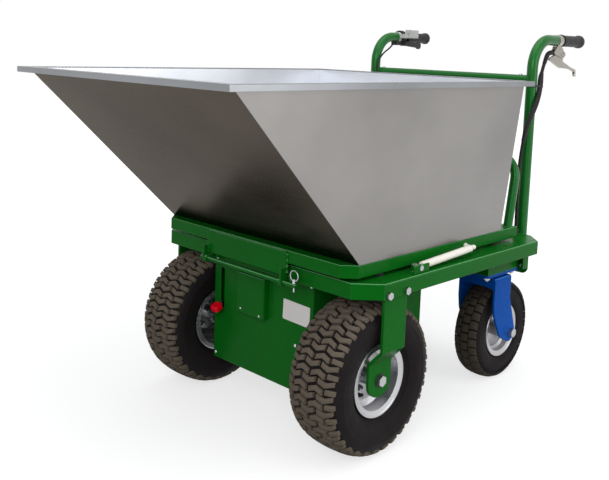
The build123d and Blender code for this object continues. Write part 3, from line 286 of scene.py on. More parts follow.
# %% Moulded rubber
grain, start, end = effect("rubber_grain", [("Colour", COLOUR, (0.02, 0.02, 0.02, 1)),
                                            ("Soil", COLOUR, (0.11, 0.085, 0.062, 1)), ("Dust", VALUE, 0.4)],
                           [("Colour", COLOUR), ("Roughness", VALUE), ("Grain", VALUE)])
patches = noise(grain, scale=16.0, detail=6.0, low=0.1)
worn = math_node(grain, "MULTIPLY", patches, start.outputs["Dust"])
spots = noise(grain, scale=120.0, detail=3.0, low=-0.6, high=0.5)
spotted = math_node(grain, "MULTIPLY", spots, start.outputs["Dust"])
smears = math_node(grain, "ADD", worn, spotted)
soiled = blend_colour(grain, smears, start.outputs["Colour"], start.outputs["Soil"])
grain.links.new(soiled, end.inputs["Colour"])
dull = noise(grain, scale=30.0, detail=3.0, low=0.5, high=0.62)
grain.links.new(math_node(grain, "ADD", dull, smears), end.inputs["Roughness"])
grain.links.new(noise(grain, scale=520.0, detail=3.0), end.inputs["Grain"])
print("group:", grain.name)

# %% [markdown]
# ### Painted highlight on folds
# A painted fold shows a light line where it looks up to the lamps. Here that line is a painted
# highlight, a lighter base colour, and this group gives its mask. Two things give the mask. Where the
# Bevel node turns the normal away from that of the face, there is a sharp edge, and it is painted
# lighter the more it looks up. A real fold radius has no such turn, so a band of slopes is painted
# lighter as well.

# %% Painted highlight on folds
EDGE_GAIN, EDGE_BASE = 3.0, 0.15
BAND_SLOPE, BAND_FALL = 0.68, 4.0
painted_fold_highlight, start, end = effect("painted_fold_highlight", [("Rounded", VECTOR, (0, 0, 1)), ("Face", VECTOR, (0, 0, 1))],
                                [("Mask", VALUE)])
alike = node(painted_fold_highlight, "VectorMath", operation="DOT_PRODUCT")
painted_fold_highlight.links.new(start.outputs["Rounded"], alike.inputs[0])
painted_fold_highlight.links.new(start.outputs["Face"], alike.inputs[1])
turned = math_node(painted_fold_highlight, "SUBTRACT", 1.0, alike.outputs["Value"])
way = node(painted_fold_highlight, "SeparateXYZ")
painted_fold_highlight.links.new(start.outputs["Rounded"], way.inputs[0])
upward = math_node(painted_fold_highlight, "ADD", math_node(painted_fold_highlight, "MAXIMUM", way.outputs["Z"], 0.0), EDGE_BASE)
edges = math_node(painted_fold_highlight, "MULTIPLY", math_node(painted_fold_highlight, "MULTIPLY", turned, EDGE_GAIN), upward)
slope = node(painted_fold_highlight, "SeparateXYZ")
painted_fold_highlight.links.new(node(painted_fold_highlight, "TexCoord").outputs["Normal"], slope.inputs[0])
steeper = math_node(painted_fold_highlight, "SUBTRACT", BAND_SLOPE, slope.outputs["Z"])
flatter = math_node(painted_fold_highlight, "SUBTRACT", slope.outputs["Z"], BAND_SLOPE)
aside = math_node(painted_fold_highlight, "MULTIPLY", math_node(painted_fold_highlight, "ADD", flatter, steeper), BAND_FALL)
band = math_node(painted_fold_highlight, "SUBTRACT", 1.0, aside)
painted_fold_highlight.links.new(math_node(painted_fold_highlight, "ADD", edges, band), end.inputs["Mask"])
print("group:", painted_fold_highlight.name)

# %% [markdown]
# ## Finishes
# Each material is one Principled shader fed by one of the groups. Values that are the same all
# over, such as the gloss of the enamel, are set on the shader itself. Except on the tyres, a Bevel node
# rounds the shading of cut edges by 0.6 to 3 mm, so that edges catch the light as real ones do. The
# paints of sheet pieces also get a painted highlight: a lighter base colour where the group for folds
# says so.

# %% Helpers for materials
def finish(name, group, bump, reach, edge=0.0012, painted_highlight=None, **plain):
    """Principled material fed by an effect group: colour, roughness, a fine bump and, if given, a painted
    highlight on folds.
    """
    made = bpy.data.materials.new(name)
    made.use_nodes = True
    tree = made.node_tree
    shader = tree.nodes["Principled BSDF"]
    look = node(tree, "Group", node_tree=group)
    relief = node(tree, "Bump", in_Strength=bump, in_Distance=reach)
    colour = look.outputs[0]
    tree.links.new(look.outputs["Roughness"], shader.inputs["Roughness"])
    tree.links.new(look.outputs[2], relief.inputs["Height"])
    if edge:
        rounded = node(tree, "Bevel", samples=4, in_Radius=edge)
        tree.links.new(rounded.outputs[0], relief.inputs["Normal"])
    # Painted highlight: the base colour is lightened where the mask of the fold group is white.
    if painted_highlight:
        painted_highlight_group = node(tree, "Group", node_tree=painted_fold_highlight)
        tree.links.new(rounded.outputs[0], painted_highlight_group.inputs["Rounded"])
        tree.links.new(node(tree, "NewGeometry").outputs["Normal"], painted_highlight_group.inputs["Face"])
        colour = blend_colour(tree, painted_highlight_group.outputs["Mask"], colour, painted_highlight)
    tree.links.new(colour, shader.inputs["Base Color"])
    tree.links.new(relief.outputs[0], shader.inputs["Normal"])
    for key, value in plain.items():
        label = key.replace("_", " ")
        target = look if label in look.inputs else shader
        target.inputs[label].default_value = value
    return made


def dress(material, *names):
    """CAD nodes get a finish in their own slots."""
    for name in names:
        for held in nodes[name].material_slots:
            held.material = material
    print(material.name, "on", len(names), "nodes")


print("material helpers ready")

# %% [markdown]
# ### Paint
# The frame is sprayed in a glossy green enamel. Spray paint is never quite flat, so a weak orange
# peel breaks up the reflections, and a little dust lies on what is near the ground. A plain gloss
# greys a dark colour under a white surround, so on flat sheet it is weak and tinted like the paint.
# The tubes are glossier: they carry two coats, and their round tops catch the light from above.

# %% Paint
# The green and blue sheet paints carry a painted highlight: a lighter base colour on folds and edges that
# look up.
green_enamel = finish("green_enamel", skin, 0.03, 0.0005, edge=0.003, painted_highlight=(0.20, 0.46, 0.23, 1),
                      Colour=(0.004, 0.125, 0.009, 1), Dust=0.01, Specular_IOR_Level=0.07,
                      Specular_Tint=(0.12, 0.8, 0.16, 1))
tube_enamel = finish("tube_enamel", skin, 0.06, 0.0005, edge=0.0015, Colour=(0.005, 0.105, 0.011, 1),
                     Dust=0.0, Specular_IOR_Level=0.4, Specular_Tint=(0.3, 0.8, 0.4, 1), Coat_Weight=0.1,
                     Coat_Roughness=0.2)
blue_enamel = finish("blue_enamel", skin, 0.03, 0.0005, edge=0.0025, painted_highlight=(0.10, 0.32, 0.80, 1),
                     Colour=(0.001, 0.085, 0.43, 1), Dust=0.005, Specular_IOR_Level=0.04,
                     Specular_Tint=(0.08, 0.4, 1.0, 1))
cream_enamel = finish("cream_enamel", skin, 0.05, 0.0004, Colour=(0.86, 0.84, 0.75, 1), Dust=0.05,
                      Specular_IOR_Level=0.4)
silver_paint = finish("silver_paint", skin, 0.12, 0.0006, Colour=(0.46, 0.46, 0.475, 1), Dust=0.10,
                      Metallic=0.92)
dress(green_enamel, "chassis_deck", "rear_apron", "caster_spacers", "wheel_struts", "casing_shell",
      "casing_front_panel", "access_cover", "tipping_frame_rails", "hinge_leaf", "hinge_rod",
      "spring_clevises")
dress(tube_enamel, "rear_hoop", "left_handle_post", "right_handle_post", "handle_crossbar")
dress(blue_enamel, "left_caster_fork", "right_caster_fork", "caster_plates")
dress(cream_enamel, "gas_cylinders")
dress(silver_paint, "left_drive_rim", "right_drive_rim", "left_caster_rim", "right_caster_rim")

# %% [markdown]
# ### Metal
# The hopper is cold rolled stainless sheet. It is half mirror, half satin, with faint lines in
# the direction it was rolled. The rolling runs along the length of each panel, so the pattern is
# stretched along that axis. The inside takes a lighter base colour than the outside. The outside of
# the front panel is far darker than that of the sides: a painted reflection of the shaded ground it
# faces. A face is on the inside where its normal looks towards the middle of the hopper. Bolts and
# pins are bright zinc, and the brake lever is polished aluminium.

# %% Hopper sheet
HOPPER_MIDDLE = (0.0, -0.08, 0.72)
hopper_sheet, start, end = effect("hopper_sheet", [("Outside", COLOUR, (0.3, 0.3, 0.3, 1)),
                                                   ("Inside", COLOUR, (0.6, 0.6, 0.6, 1)),
                                                   ("Stretch", VECTOR, (3.0, 3.0, 300.0)),
                                                   ("Gloss", VALUE, 0.3)],
                                  [("Colour", COLOUR), ("Roughness", VALUE), ("Grain", VALUE)])
place = node(hopper_sheet, "TexCoord")
outward = node(hopper_sheet, "VectorMath", operation="SUBTRACT")
outward.inputs[1].default_value = HOPPER_MIDDLE
facing = node(hopper_sheet, "VectorMath", operation="DOT_PRODUCT")
hopper_sheet.links.new(place.outputs["Object"], outward.inputs[0])
hopper_sheet.links.new(outward.outputs[0], facing.inputs[0])
hopper_sheet.links.new(place.outputs["Normal"], facing.inputs[1])
inner = math_node(hopper_sheet, "LESS_THAN", facing.outputs["Value"], 0.0)
sheet = node(hopper_sheet, "Group", node_tree=rolled)
hopper_sheet.links.new(blend_colour(hopper_sheet, inner, start.outputs["Outside"], start.outputs["Inside"]),
                       sheet.inputs["Colour"])
for label in ("Stretch", "Gloss"):
    hopper_sheet.links.new(start.outputs[label], sheet.inputs[label])
for label in ("Colour", "Roughness", "Grain"):
    hopper_sheet.links.new(sheet.outputs[label], end.inputs[label])
print("group:", hopper_sheet.name)

# %% Metal
SIDE_LINES, FRONT_LINES = (260.0, 2.5, 260.0), (2.5, 260.0, 260.0)
# The inside of the hopper takes a lighter base colour than the outside.
HOPPER_INSIDE = (0.63, 0.65, 0.69, 1)
stainless_side = finish("stainless_side", hopper_sheet, 0.05, 0.0003, Outside=(0.255, 0.245, 0.236, 1),
                        Inside=HOPPER_INSIDE, Stretch=SIDE_LINES, Gloss=0.32, Metallic=1.0)
# Painted reflection: the front panel's outside colour is darkened to stand for the shaded ground it mirrors.
stainless_front_dark_reflection = finish("stainless_front_dark_reflection", hopper_sheet, 0.04, 0.0003, Outside=(0.100, 0.086, 0.072, 1),
                         Inside=HOPPER_INSIDE, Stretch=FRONT_LINES, Gloss=0.26, Metallic=1.0,
                         Specular_Tint=(0.55, 0.54, 0.53, 1))
stainless_bright = finish("stainless_bright", rolled, 0.05, 0.0003, Colour=(0.27, 0.28, 0.295, 1),
                          Stretch=(60.0, 60.0, 60.0), Gloss=0.3, Metallic=1.0)
zinc_plate = finish("zinc_plate", rolled, 0.05, 0.0003, edge=0.0006, Colour=(0.44, 0.445, 0.46, 1),
                    Stretch=(90.0, 90.0, 90.0), Gloss=0.26, Metallic=1.0)
hard_chrome = finish("hard_chrome", rolled, 0.02, 0.0002, edge=0.0006, Colour=(0.62, 0.63, 0.65, 1),
                     Stretch=(400.0, 3.0, 400.0), Gloss=0.1, Metallic=1.0)
bright_alloy = finish("bright_alloy", rolled, 0.08, 0.0004, edge=0.0025, Colour=(0.40, 0.375, 0.335, 1),
                      Stretch=(120.0, 30.0, 120.0), Gloss=0.2, Metallic=1.0)
dark_iron = finish("dark_iron", rolled, 0.2, 0.0008, Colour=(0.16, 0.16, 0.165, 1),
                   Stretch=(80.0, 80.0, 80.0), Gloss=0.5, Metallic=0.9)
dress(stainless_side, "hopper_side_panels", "hopper_rear_panel", "hopper_floor")
dress(stainless_front_dark_reflection, "hopper_front_panel")
dress(stainless_bright, "hopper_rim")
dress(zinc_plate, "strut_bolts", "lynch_pin", "clevis_bolts", "post_u_bolts", "post_saddles",
      "left_caster_axle", "right_caster_axle", "release_lever", "left_half_shaft", "right_half_shaft")
dress(hard_chrome, "gas_rods")
dress(bright_alloy, "brake_lever", "brake_perch", "motor_controller")
dress(dark_iron, "gearbox", "drive_motor")

# %% [markdown]
# ### Rubber and plastic
# Tyre rubber is a dull brown black, and dust settles on it in patches. The casters' tread is a darker
# copy of it, which is painted shade. The grips are ribbed for the hand, so their group adds rings along
# the bar to the grain, and their colour is darker in the grooves between the rings, which is painted
# shade. The cable jackets are cleaner, and the knob and the switch box are moulded.

# %% Ribs of the grips
ribbed, start, end = effect("grip_ribs", [("Colour", COLOUR, (0.03, 0.03, 0.03, 1)), ("Scale", VALUE, 95.0)],
                            [("Colour", COLOUR), ("Roughness", VALUE), ("Height", VALUE)])
rings = node(ribbed, "TexWave", wave_type="BANDS", bands_direction="Y", wave_profile="SIN")
ribbed.links.new(node(ribbed, "TexCoord").outputs["Object"], rings.inputs["Vector"])
ribbed.links.new(start.outputs["Scale"], rings.inputs["Scale"])
shade = node(ribbed, "HueSaturation")
ribbed.links.new(start.outputs["Colour"], shade.inputs["Color"])
# Painted shade: the colour is darker in the grooves between the ribs, where the height is low.
groove_shade = math_node(ribbed, "MULTIPLY", rings.outputs[1], 0.5)
ribbed.links.new(math_node(ribbed, "ADD", groove_shade, 0.5), shade.inputs["Value"])
ribbed.links.new(shade.outputs[0], end.inputs["Colour"])
ribbed.links.new(noise(ribbed, scale=60.0, detail=4.0, low=0.42, high=0.6), end.inputs["Roughness"])
high_rings = math_node(ribbed, "MULTIPLY", rings.outputs[1], 0.8)
low_grain = noise(ribbed, scale=600.0, detail=2.0, high=0.2)
ribbed.links.new(math_node(ribbed, "ADD", high_rings, low_grain), end.inputs["Height"])
print("group:", ribbed.name)

# %% Rubber and plastic
sidewall_rubber = finish("sidewall_rubber", grain, 0.25, 0.0006, edge=0, Colour=(0.0090, 0.0075, 0.0082, 1),
                         Soil=(0.06, 0.05, 0.042, 1), Dust=0.10, Specular_IOR_Level=0.07)
tread_rubber = finish("tread_rubber", grain, 0.4, 0.0008, edge=0, Colour=(0.115, 0.092, 0.074, 1),
                      Soil=(0.185, 0.156, 0.112, 1), Dust=0.45, Specular_IOR_Level=0.1)
# Painted shade: the casters' tread is a darker copy of the tread rubber.
caster_tread_painted_shade = finish("caster_tread_painted_shade", grain, 0.4, 0.0008, edge=0, Colour=(0.045, 0.036, 0.030, 1),
                      Soil=(0.095, 0.080, 0.058, 1), Dust=0.35, Specular_IOR_Level=0.1)
black_rubber = finish("black_rubber", grain, 0.25, 0.0005, Colour=(0.010, 0.010, 0.011, 1), Dust=0.06,
                      Specular_IOR_Level=0.2)
grip_rubber = finish("grip_rubber", ribbed, 0.5, 0.0006, Colour=(0.034, 0.032, 0.034, 1),
                     Specular_IOR_Level=0.2)
black_plastic = finish("black_plastic", grain, 0.2, 0.0004, Colour=(0.016, 0.016, 0.017, 1), Dust=0.05,
                       Specular_IOR_Level=0.35)
pale_plastic = finish("pale_plastic", grain, 0.12, 0.0004, Colour=(0.50, 0.50, 0.49, 1),
                      Soil=(0.42, 0.41, 0.38, 1), Dust=0.25, Specular_IOR_Level=0.35)
red_plastic = finish("red_plastic", skin, 0.06, 0.0004, Colour=(0.84, 0.002, 0.016, 1), Dust=0.0,
                     Specular_IOR_Level=0.3, Specular_Tint=(1.0, 0.25, 0.3, 1))
dress(sidewall_rubber, "left_drive_tyre", "right_drive_tyre", "left_caster_tyre", "right_caster_tyre")
dress(grip_rubber, "handle_grips")
dress(black_rubber, "tip_buffers", "brake_cable", "throttle_cable")
dress(black_plastic, "throttle_housing", "throttle_lever", "cable_glands", "strut_bushes", "batteries")
dress(pale_plastic, "switch_box", "switch_button")
dress(red_plastic, "release_knob")

# %% [markdown]
# ## Treaded tyres
# The CAD tyre has the right size and hollow, but a smooth band. A turf tyre carries courses of bent
# blocks, laid like bricks: each course is half a block across from the next, and all follow one zigzag.
# The carcass is a profile spun round the axle. One block of each place is drawn flat, bevelled, wrapped
# on the crown and then spun as copies, much as a tyre mould is cut.

# %% Helpers for new pieces
CRISP = math.radians(38)
SIDES = {"left": 1, "right": -1}
to_metres = Matrix.Scale(MM, 4)


def piece(name, bm, body, slot, *materials):
    """Mesh object from a bmesh, riding on a body, with smooth faces and crisp edges."""
    mesh = bpy.data.meshes.new(name)
    bm.to_mesh(mesh)
    bm.free()
    for material in materials:
        mesh.materials.append(material)
    mesh.shade_smooth()
    mesh.set_sharp_from_angle(angle=CRISP)
    made = bpy.data.objects.new(name, mesh)
    scene.collection.objects.link(made)
    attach(made, body)
    print(name, "faces", len(mesh.polygons))
    return made


def verts_of(geom):
    """The vertices among what an operator made."""
    return [g for g in geom if isinstance(g, bmesh.types.BMVert)]


def verts_since(bm, before):
    """The vertices that were not there before."""
    return [v for v in bm.verts if v not in before]


def soften(bm, edges, offset):
    """Small round bevel on edges."""
    bmesh.ops.bevel(bm, geom=edges, offset=offset, offset_type="OFFSET", affect="EDGES", segments=2,
                    profile=0.5, material=-1)


def spun(bm, profile, steps, closed=True):
    """Surface spun round X from (x, radius) points."""
    verts = [bm.verts.new((x, 0, r)) for x, r in profile]
    pairs = list(zip(verts, verts[1:])) + ([(verts[-1], verts[0])] if closed else [])
    edges = [bm.edges.new(pair) for pair in pairs]
    bmesh.ops.spin(bm, geom=verts + edges, cent=(0, 0, 0), axis=(1, 0, 0), angle=2 * math.pi,
                   steps=steps, use_merge=True)


print("piece helpers ready")


# %% Helpers for treads
def tread_block(bm, half_w, half_l, bend, height, bevel):
    """Flat block of two halves that meet at a bend, with its top edge bevelled: its vertices."""
    before = set(bm.verts)
    lines = [[bm.verts.new((x, s + k * half_l, 0)) for k in (-1, 1)]
             for x, s in ((-half_w, bend), (0, -bend), (half_w, bend))]
    base = [bm.faces.new((a[0], b[0], b[1], a[1])) for a, b in zip(lines, lines[1:])]
    top = bmesh.ops.extrude_face_region(bm, geom=base)["geom"]
    bmesh.ops.translate(bm, verts=verts_of(top), vec=(0, 0, height))
    lid = {f for f in top if isinstance(f, bmesh.types.BMFace)}
    rim = [e for e in {e for f in lid for e in f.edges} if sum(f in lid for f in e.link_faces) == 1]
    soften(bm, rim, bevel)
    return verts_since(bm, before)


def tread_foot(middle, arch, shoulder):
    """Radius under the blocks at a place across: a flat arch and a round shoulder, as (drop, place)."""
    def radius(x):
        return middle - arch[0] * (x / arch[1]) ** 2 - shoulder[0] * (x / shoulder[1]) ** 6
    return radius


def wrapped(verts, x0, turn, lay_r, foot):
    """Flat block laid on the tyre: across stays across, along runs round the axle, up is outwards."""
    for vert in verts:
        across = x0 + vert.co.x
        angle = turn + vert.co.y / lay_r
        reach = foot(across) + vert.co.z
        vert.co = (across, -reach * math.sin(angle), reach * math.cos(angle))


def ring_of(bm, verts, count, material):
    """Copies of a block all round the axle."""
    faces = list({f for v in verts for f in v.link_faces})
    for face in faces:
        face.material_index = material
    geom = list(verts) + list({e for f in faces for e in f.edges}) + faces
    bmesh.ops.spin(bm, geom=geom, cent=(0, 0, 0), axis=(1, 0, 0), angle=2 * math.pi * (count - 1) / count,
                   steps=count - 1, use_duplicate=True)


def mirrored(points):
    """The same points on the other side of the tyre, in the order that goes on round it."""
    return [(-x, r) for x, r in reversed(points)]


# The carcass, floors of the grooves included, takes material 0, the dark sidewall rubber; in the grooves its
# darkness is partly painted shade.
SMOOTH, TREAD = 0, 1
print("tread helpers ready")


# %% Turf tyres of the drive wheels
def turf_tyre(bm):
    """Closed carcass with guard lines on its walls and courses of bent blocks."""
    wall = [(44.6, 79.5), (53.2, 79.5), (53.4, 93), (57, 96), (62, 100), (66, 104), (67.6, 104),
            (71, 109.5), (75.5, 119), (78.6, 131), (79.3, 141), (78.8, 147.4), (79.4, 149), (78.6, 151),
            (77.2, 157), (75.0, 162.5), (72.0, 167), (68, 170.6), (62, 174.4), (54, 177.4), (40, 180),
            (24, 181.5)]
    liner = [(-44.6, 93), (-66, 118), (-70, 140), (-62, 163), (-40, 171), (0, 173)]
    spun(bm, wall + [(0, 182.2)] + mirrored(wall) + liner + mirrored(liner[:-1]), steps=120)
    count, pitch, height, bevel = 32, 24, 8.0, 1.1
    half_w, half_l, bend = 19.2, 6.2, 3.6
    edge_x, edge_half_w, lay_r = 61.0, 10.0, 188.0
    half_turn = math.pi / count
    foot = tread_foot(190.3 - height, arch=(3.0, 48), shoulder=(6.5, 69))
    courses = [(x * pitch, 0.0, half_w, -bend) for x in (-2, 0, 2)]
    courses += [(x * pitch, half_turn, half_w, bend) for x in (-1, 1)]
    courses += [(x * edge_x, half_turn, edge_half_w, 0.0) for x in (-1, 1)]
    for x, turn, block_half_w, block_bend in courses:
        verts = tread_block(bm, block_half_w, half_l, block_bend, height, bevel)
        wrapped(verts, x, turn, lay_r, foot)
        ring_of(bm, verts, count, TREAD)
    bmesh.ops.recalc_face_normals(bm, faces=bm.faces)


for side in SIDES:
    body = side + "_drive_wheel"
    bm = bmesh.new()
    turf_tyre(bm)
    bmesh.ops.transform(bm, matrix=to_metres @ Matrix.Translation(pivots[body]), verts=bm.verts)
    made = piece(side + "_turf_tyre", bm, body, "tyre", sidewall_rubber, tread_rubber)
    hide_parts(side + "_drive_tyre")


# %% Caster tyres
def caster_tyre(bm):
    """Smaller closed carcass with three rows of square blocks and ribbed shoulders."""
    wall = [(21, 70.5), (28.4, 70.5), (28.4, 83.0), (32, 84.6), (35.4, 88.5), (37.6, 95), (38.7, 104),
            (39.0, 112), (38.6, 117.5), (39.0, 119), (38.4, 121), (37.4, 127), (35.6, 132.5), (32.0, 137.5),
            (25, 141.4), (13, 143.4)]
    liner = [(-21, 84), (-31, 98), (-33, 112), (-29, 128), (-14, 135), (0, 136)]
    spun(bm, wall + [(0, 144.0)] + mirrored(wall) + liner + mirrored(liner[:-1]), steps=96)
    count, height, lay_r = 34, 6.0, 147.0
    foot = tread_foot(149.8 - height, arch=(2.2, 26), shoulder=(4.5, 37))
    for x, bend, turn in ((-25.2, 0.8, 0.0), (0, -0.8, math.pi / count), (25.2, 0.8, 0.0)):
        verts = tread_block(bm, half_w=10.6, half_l=11.0, bend=bend, height=height, bevel=0.9)
        wrapped(verts, x, turn, lay_r, foot)
        ring_of(bm, verts, count, TREAD)
    for x in (-1, 1):
        verts = tread_block(bm, half_w=5.6, half_l=3.9, bend=0.0, height=2.6, bevel=0.7)
        place = Matrix.Translation((x * 36.2, 0, 133.0)) @ Matrix.Rotation(x * math.radians(68), 4, "Y")
        bmesh.ops.transform(bm, matrix=place, verts=verts)
        ring_of(bm, verts, 2 * count, SMOOTH)
    bmesh.ops.recalc_face_normals(bm, faces=bm.faces)


for side in SIDES:
    body = side + "_caster_wheel"
    bm = bmesh.new()
    caster_tyre(bm)
    bmesh.ops.transform(bm, matrix=to_metres @ Matrix.Translation(pivots[body]), verts=bm.verts)
    made = piece(side + "_block_tyre", bm, body, "tyre", sidewall_rubber, caster_tread_painted_shade)
    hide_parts(side + "_caster_tyre")

# %% [markdown]
# ## Fasteners
# The solid model carries the bolts that hold something in a joint. The many small ones are added
# here. A hexagon head is a six-sided disc with its corners turned off, on a washer. Drawing it once
# along Z and turning it into place keeps every head alike, as bought fasteners are.

# %% Helpers for fasteners
WASHER_SHARE, CORNER_SHARE, THREAD_SHARE = 0.66, 0.577, 0.3
DOME_RISE, DOME_SUNK = 0.62, 0.2


def toward(direction, spot):
    """Frame at a spot, in millimetres, whose Z axis looks along a direction."""
    turn = Vector(direction).to_track_quat("Z", "Y").to_matrix().to_4x4()
    return to_metres @ Matrix.Translation(spot) @ turn


def disc(bm, segments, radius, low, high, bevel, place):
    """Short bar with a bevelled top edge."""
    before = set(bm.verts)
    made = bmesh.ops.create_cone(bm, cap_ends=True, segments=segments, radius1=radius, radius2=radius,
                                 depth=high - low)["verts"]
    bmesh.ops.translate(bm, verts=made, vec=(0, 0, (low + high) / 2))
    edges = {e for v in made for e in v.link_edges}
    soften(bm, [e for e in edges if all(v.co.z > high - 1e-4 for v in e.verts)], bevel)
    bmesh.ops.transform(bm, matrix=place, verts=verts_since(bm, before))


def hex_head(bm, across, height, place, tail=0.0):
    """Hexagon head on a washer, with the end of its thread where it is a nut."""
    seat = 1.2
    disc(bm, 28, across * WASHER_SHARE, -0.4, seat + 0.2, 0.4, place)
    disc(bm, 6, across * CORNER_SHARE, seat, seat + height, height * 0.16, place)
    if tail:
        disc(bm, 20, across * THREAD_SHARE, seat, seat + height + tail, 0.6, place)


def pan_head(bm, radius, place):
    """Domed screw head, sunk a little in its seat."""
    before = set(bm.verts)
    bmesh.ops.create_uvsphere(bm, u_segments=20, v_segments=10, radius=radius)
    mine = verts_since(bm, before)
    bmesh.ops.scale(bm, vec=(1, 1, DOME_RISE), verts=mine)
    bmesh.ops.bisect_plane(bm, geom=mine + [e for e in bm.edges if e.verts[0] in mine]
                           + [f for f in bm.faces if f.verts[0] in mine], plane_co=(0, 0, -DOME_SUNK),
                           plane_no=(0, 0, -1), clear_outer=True)
    rims = [e for e in {e for v in verts_since(bm, before) for e in v.link_edges} if e.is_boundary]
    bmesh.ops.holes_fill(bm, edges=rims, sides=0)
    bmesh.ops.transform(bm, matrix=place, verts=verts_since(bm, before))


print("fastener helpers ready")

# %% Screws and bolts of the chassis
panel_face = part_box("casing_front_panel")[0].y / MM
cover_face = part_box("access_cover")[0].y / MM
NUT_SEAT = 340.0
CROSSBAR_SCREW = (262, 485.05, 916.2)
bm = bmesh.new()
for x, z in ((181, 392), (-181, 392), (131, 228), (181, 122), (-181, 122)):
    pan_head(bm, 5.2, toward((0, -1, 0), (x, panel_face, z)))
for x, z in ((12, 277), (-61, 281)):
    pan_head(bm, 3.4, toward((0, -1, 0), (x, cover_face, z)))
for side, sign in SIDES.items():
    kingpin = pivots[side + "_caster_fork"]
    for dx, dy in ((54, 66), (-54, 66), (54, -66), (-54, -66)):
        spot = (kingpin.x + dx, kingpin.y + dy, NUT_SEAT)
        hex_head(bm, across=15.0, height=8.0, place=toward((0, 0, -1), spot), tail=3.0)
    x, y, z = CROSSBAR_SCREW
    pan_head(bm, 6.0, toward((0, 0, 1), (sign * x, y, z)))
piece("chassis_fasteners", bm, "chassis", "zinc", zinc_plate)

# %% Wheel bolts and valve stems
BOLT_CIRCLE, BOLT_COUNT, FIRST_BOLT = 34, 5, 20
RIM_OUT, RIM_IN = 308.3, 295.8
for side, sign in SIDES.items():
    axle = pivots[side + "_drive_wheel"]
    bm = bmesh.new()
    for bolt in range(BOLT_COUNT):
        angle = math.radians(360 / BOLT_COUNT * bolt + FIRST_BOLT)
        y, z = axle.y + BOLT_CIRCLE * math.cos(angle), axle.z + BOLT_CIRCLE * math.sin(angle)
        hex_head(bm, across=14.0, height=8.0, place=toward((sign, 0, 0), (sign * RIM_OUT, y, z)), tail=3.0)
        hex_head(bm, across=14.0, height=6.0, place=toward((-sign, 0, 0), (sign * RIM_IN, y, z)))
    piece(side + "_wheel_bolts", bm, side + "_drive_wheel", "zinc", zinc_plate)
    bm = bmesh.new()
    stem = toward((sign * 0.9, -0.2, 0.35), axle + Vector((sign * 13.2, -28.0, -44.5)))
    disc(bm, segments=24, radius=8.0, low=-1, high=3, bevel=1.5, place=stem)
    disc(bm, segments=24, radius=5.6, low=2, high=14, bevel=1.5, place=stem)
    disc(bm, segments=16, radius=4.4, low=13, high=25, bevel=1.2, place=stem)
    piece(side + "_valve_stem", bm, side + "_drive_wheel", "black_rubber", black_rubber)

# %% [markdown]
# ## Bare plate
# A small bare aluminium plate is riveted to the casing beside the cover, a little out of level. A grid
# of one face has its corners rounded by a bevel and is extruded to the sheet's thickness, and four
# short bars stand for the rivets.

# %% Bare plate
PLATE_HALF_W, PLATE_HALF_H, PLATE_T = 47.5, 26.5, 0.8
RIVET_INSET = 3.5
bm = bmesh.new()
bmesh.ops.create_grid(bm, x_segments=1, y_segments=1, size=1.0)
bmesh.ops.scale(bm, vec=(PLATE_HALF_W, PLATE_HALF_H, 1), verts=bm.verts)
bmesh.ops.bevel(bm, geom=bm.verts[:], offset=3.0, offset_type="OFFSET", affect="VERTICES", segments=4,
                profile=0.5, material=-1)
top = bmesh.ops.extrude_face_region(bm, geom=bm.faces[:])["geom"]
bmesh.ops.translate(bm, verts=verts_of(top), vec=(0, 0, PLATE_T))
for x in (RIVET_INSET - PLATE_HALF_W, PLATE_HALF_W - RIVET_INSET):
    for y in (RIVET_INSET - PLATE_HALF_H, PLATE_HALF_H - RIVET_INSET):
        disc(bm, segments=16, radius=1.5, low=0.5, high=1.5, bevel=0.5, place=Matrix.Translation((x, y, 0)))
bmesh.ops.recalc_face_normals(bm, faces=bm.faces)
out_of_level = Matrix.Rotation(math.radians(-1.6), 4, "Z")
upright = Matrix.Translation((131, panel_face + 0.1, 312.5)) @ Matrix.Rotation(math.radians(90), 4, "X")
bmesh.ops.transform(bm, matrix=to_metres @ upright @ out_of_level, verts=bm.verts)
plate_alloy = finish("plate_alloy", rolled, 0.05, 0.0003, Colour=(0.56, 0.54, 0.53, 1),
                     Stretch=(3.0, 200.0, 200.0), Gloss=0.42, Metallic=0.55)
piece("bare_plate", bm, "chassis", "zinc", plate_alloy)

# %% [markdown]
# ## Weld beads
# The frame is welded, and the beads still show through the paint. A bead is a row of overlapping
# ripples. Spinning a wavy profile round its own line gives that look with few faces, and half of
# each bead is sunk in the corner that it fills.

# %% Helper for welds
RIPPLE_PITCH, RIPPLE_LOW, UNEVEN = 0.55, 0.78, 0.1


def weld(bm, start, end, radius):
    """Rippled bead along a straight seam, in millimetres."""
    run = Vector(end) - Vector(start)
    count = max(4, round(run.length / (radius * RIPPLE_PITCH)))
    ripples = [(0, 0)]
    for i in range(1, count):
        swell = 1.0 if i % 2 else RIPPLE_LOW
        ripples.append((run.length * i / count, radius * swell * (1.0 + UNEVEN * math.sin(i * 2.4))))
    ripples.append((run.length, 0))
    before = set(bm.verts)
    spun(bm, ripples, steps=10, closed=False)
    bmesh.ops.remove_doubles(bm, verts=verts_since(bm, before), dist=0.0005)
    turn = run.to_track_quat("X", "Z").to_matrix().to_4x4()
    place = to_metres @ Matrix.Translation(start) @ turn
    bmesh.ops.transform(bm, matrix=place, verts=verts_since(bm, before))


print("weld helper ready")

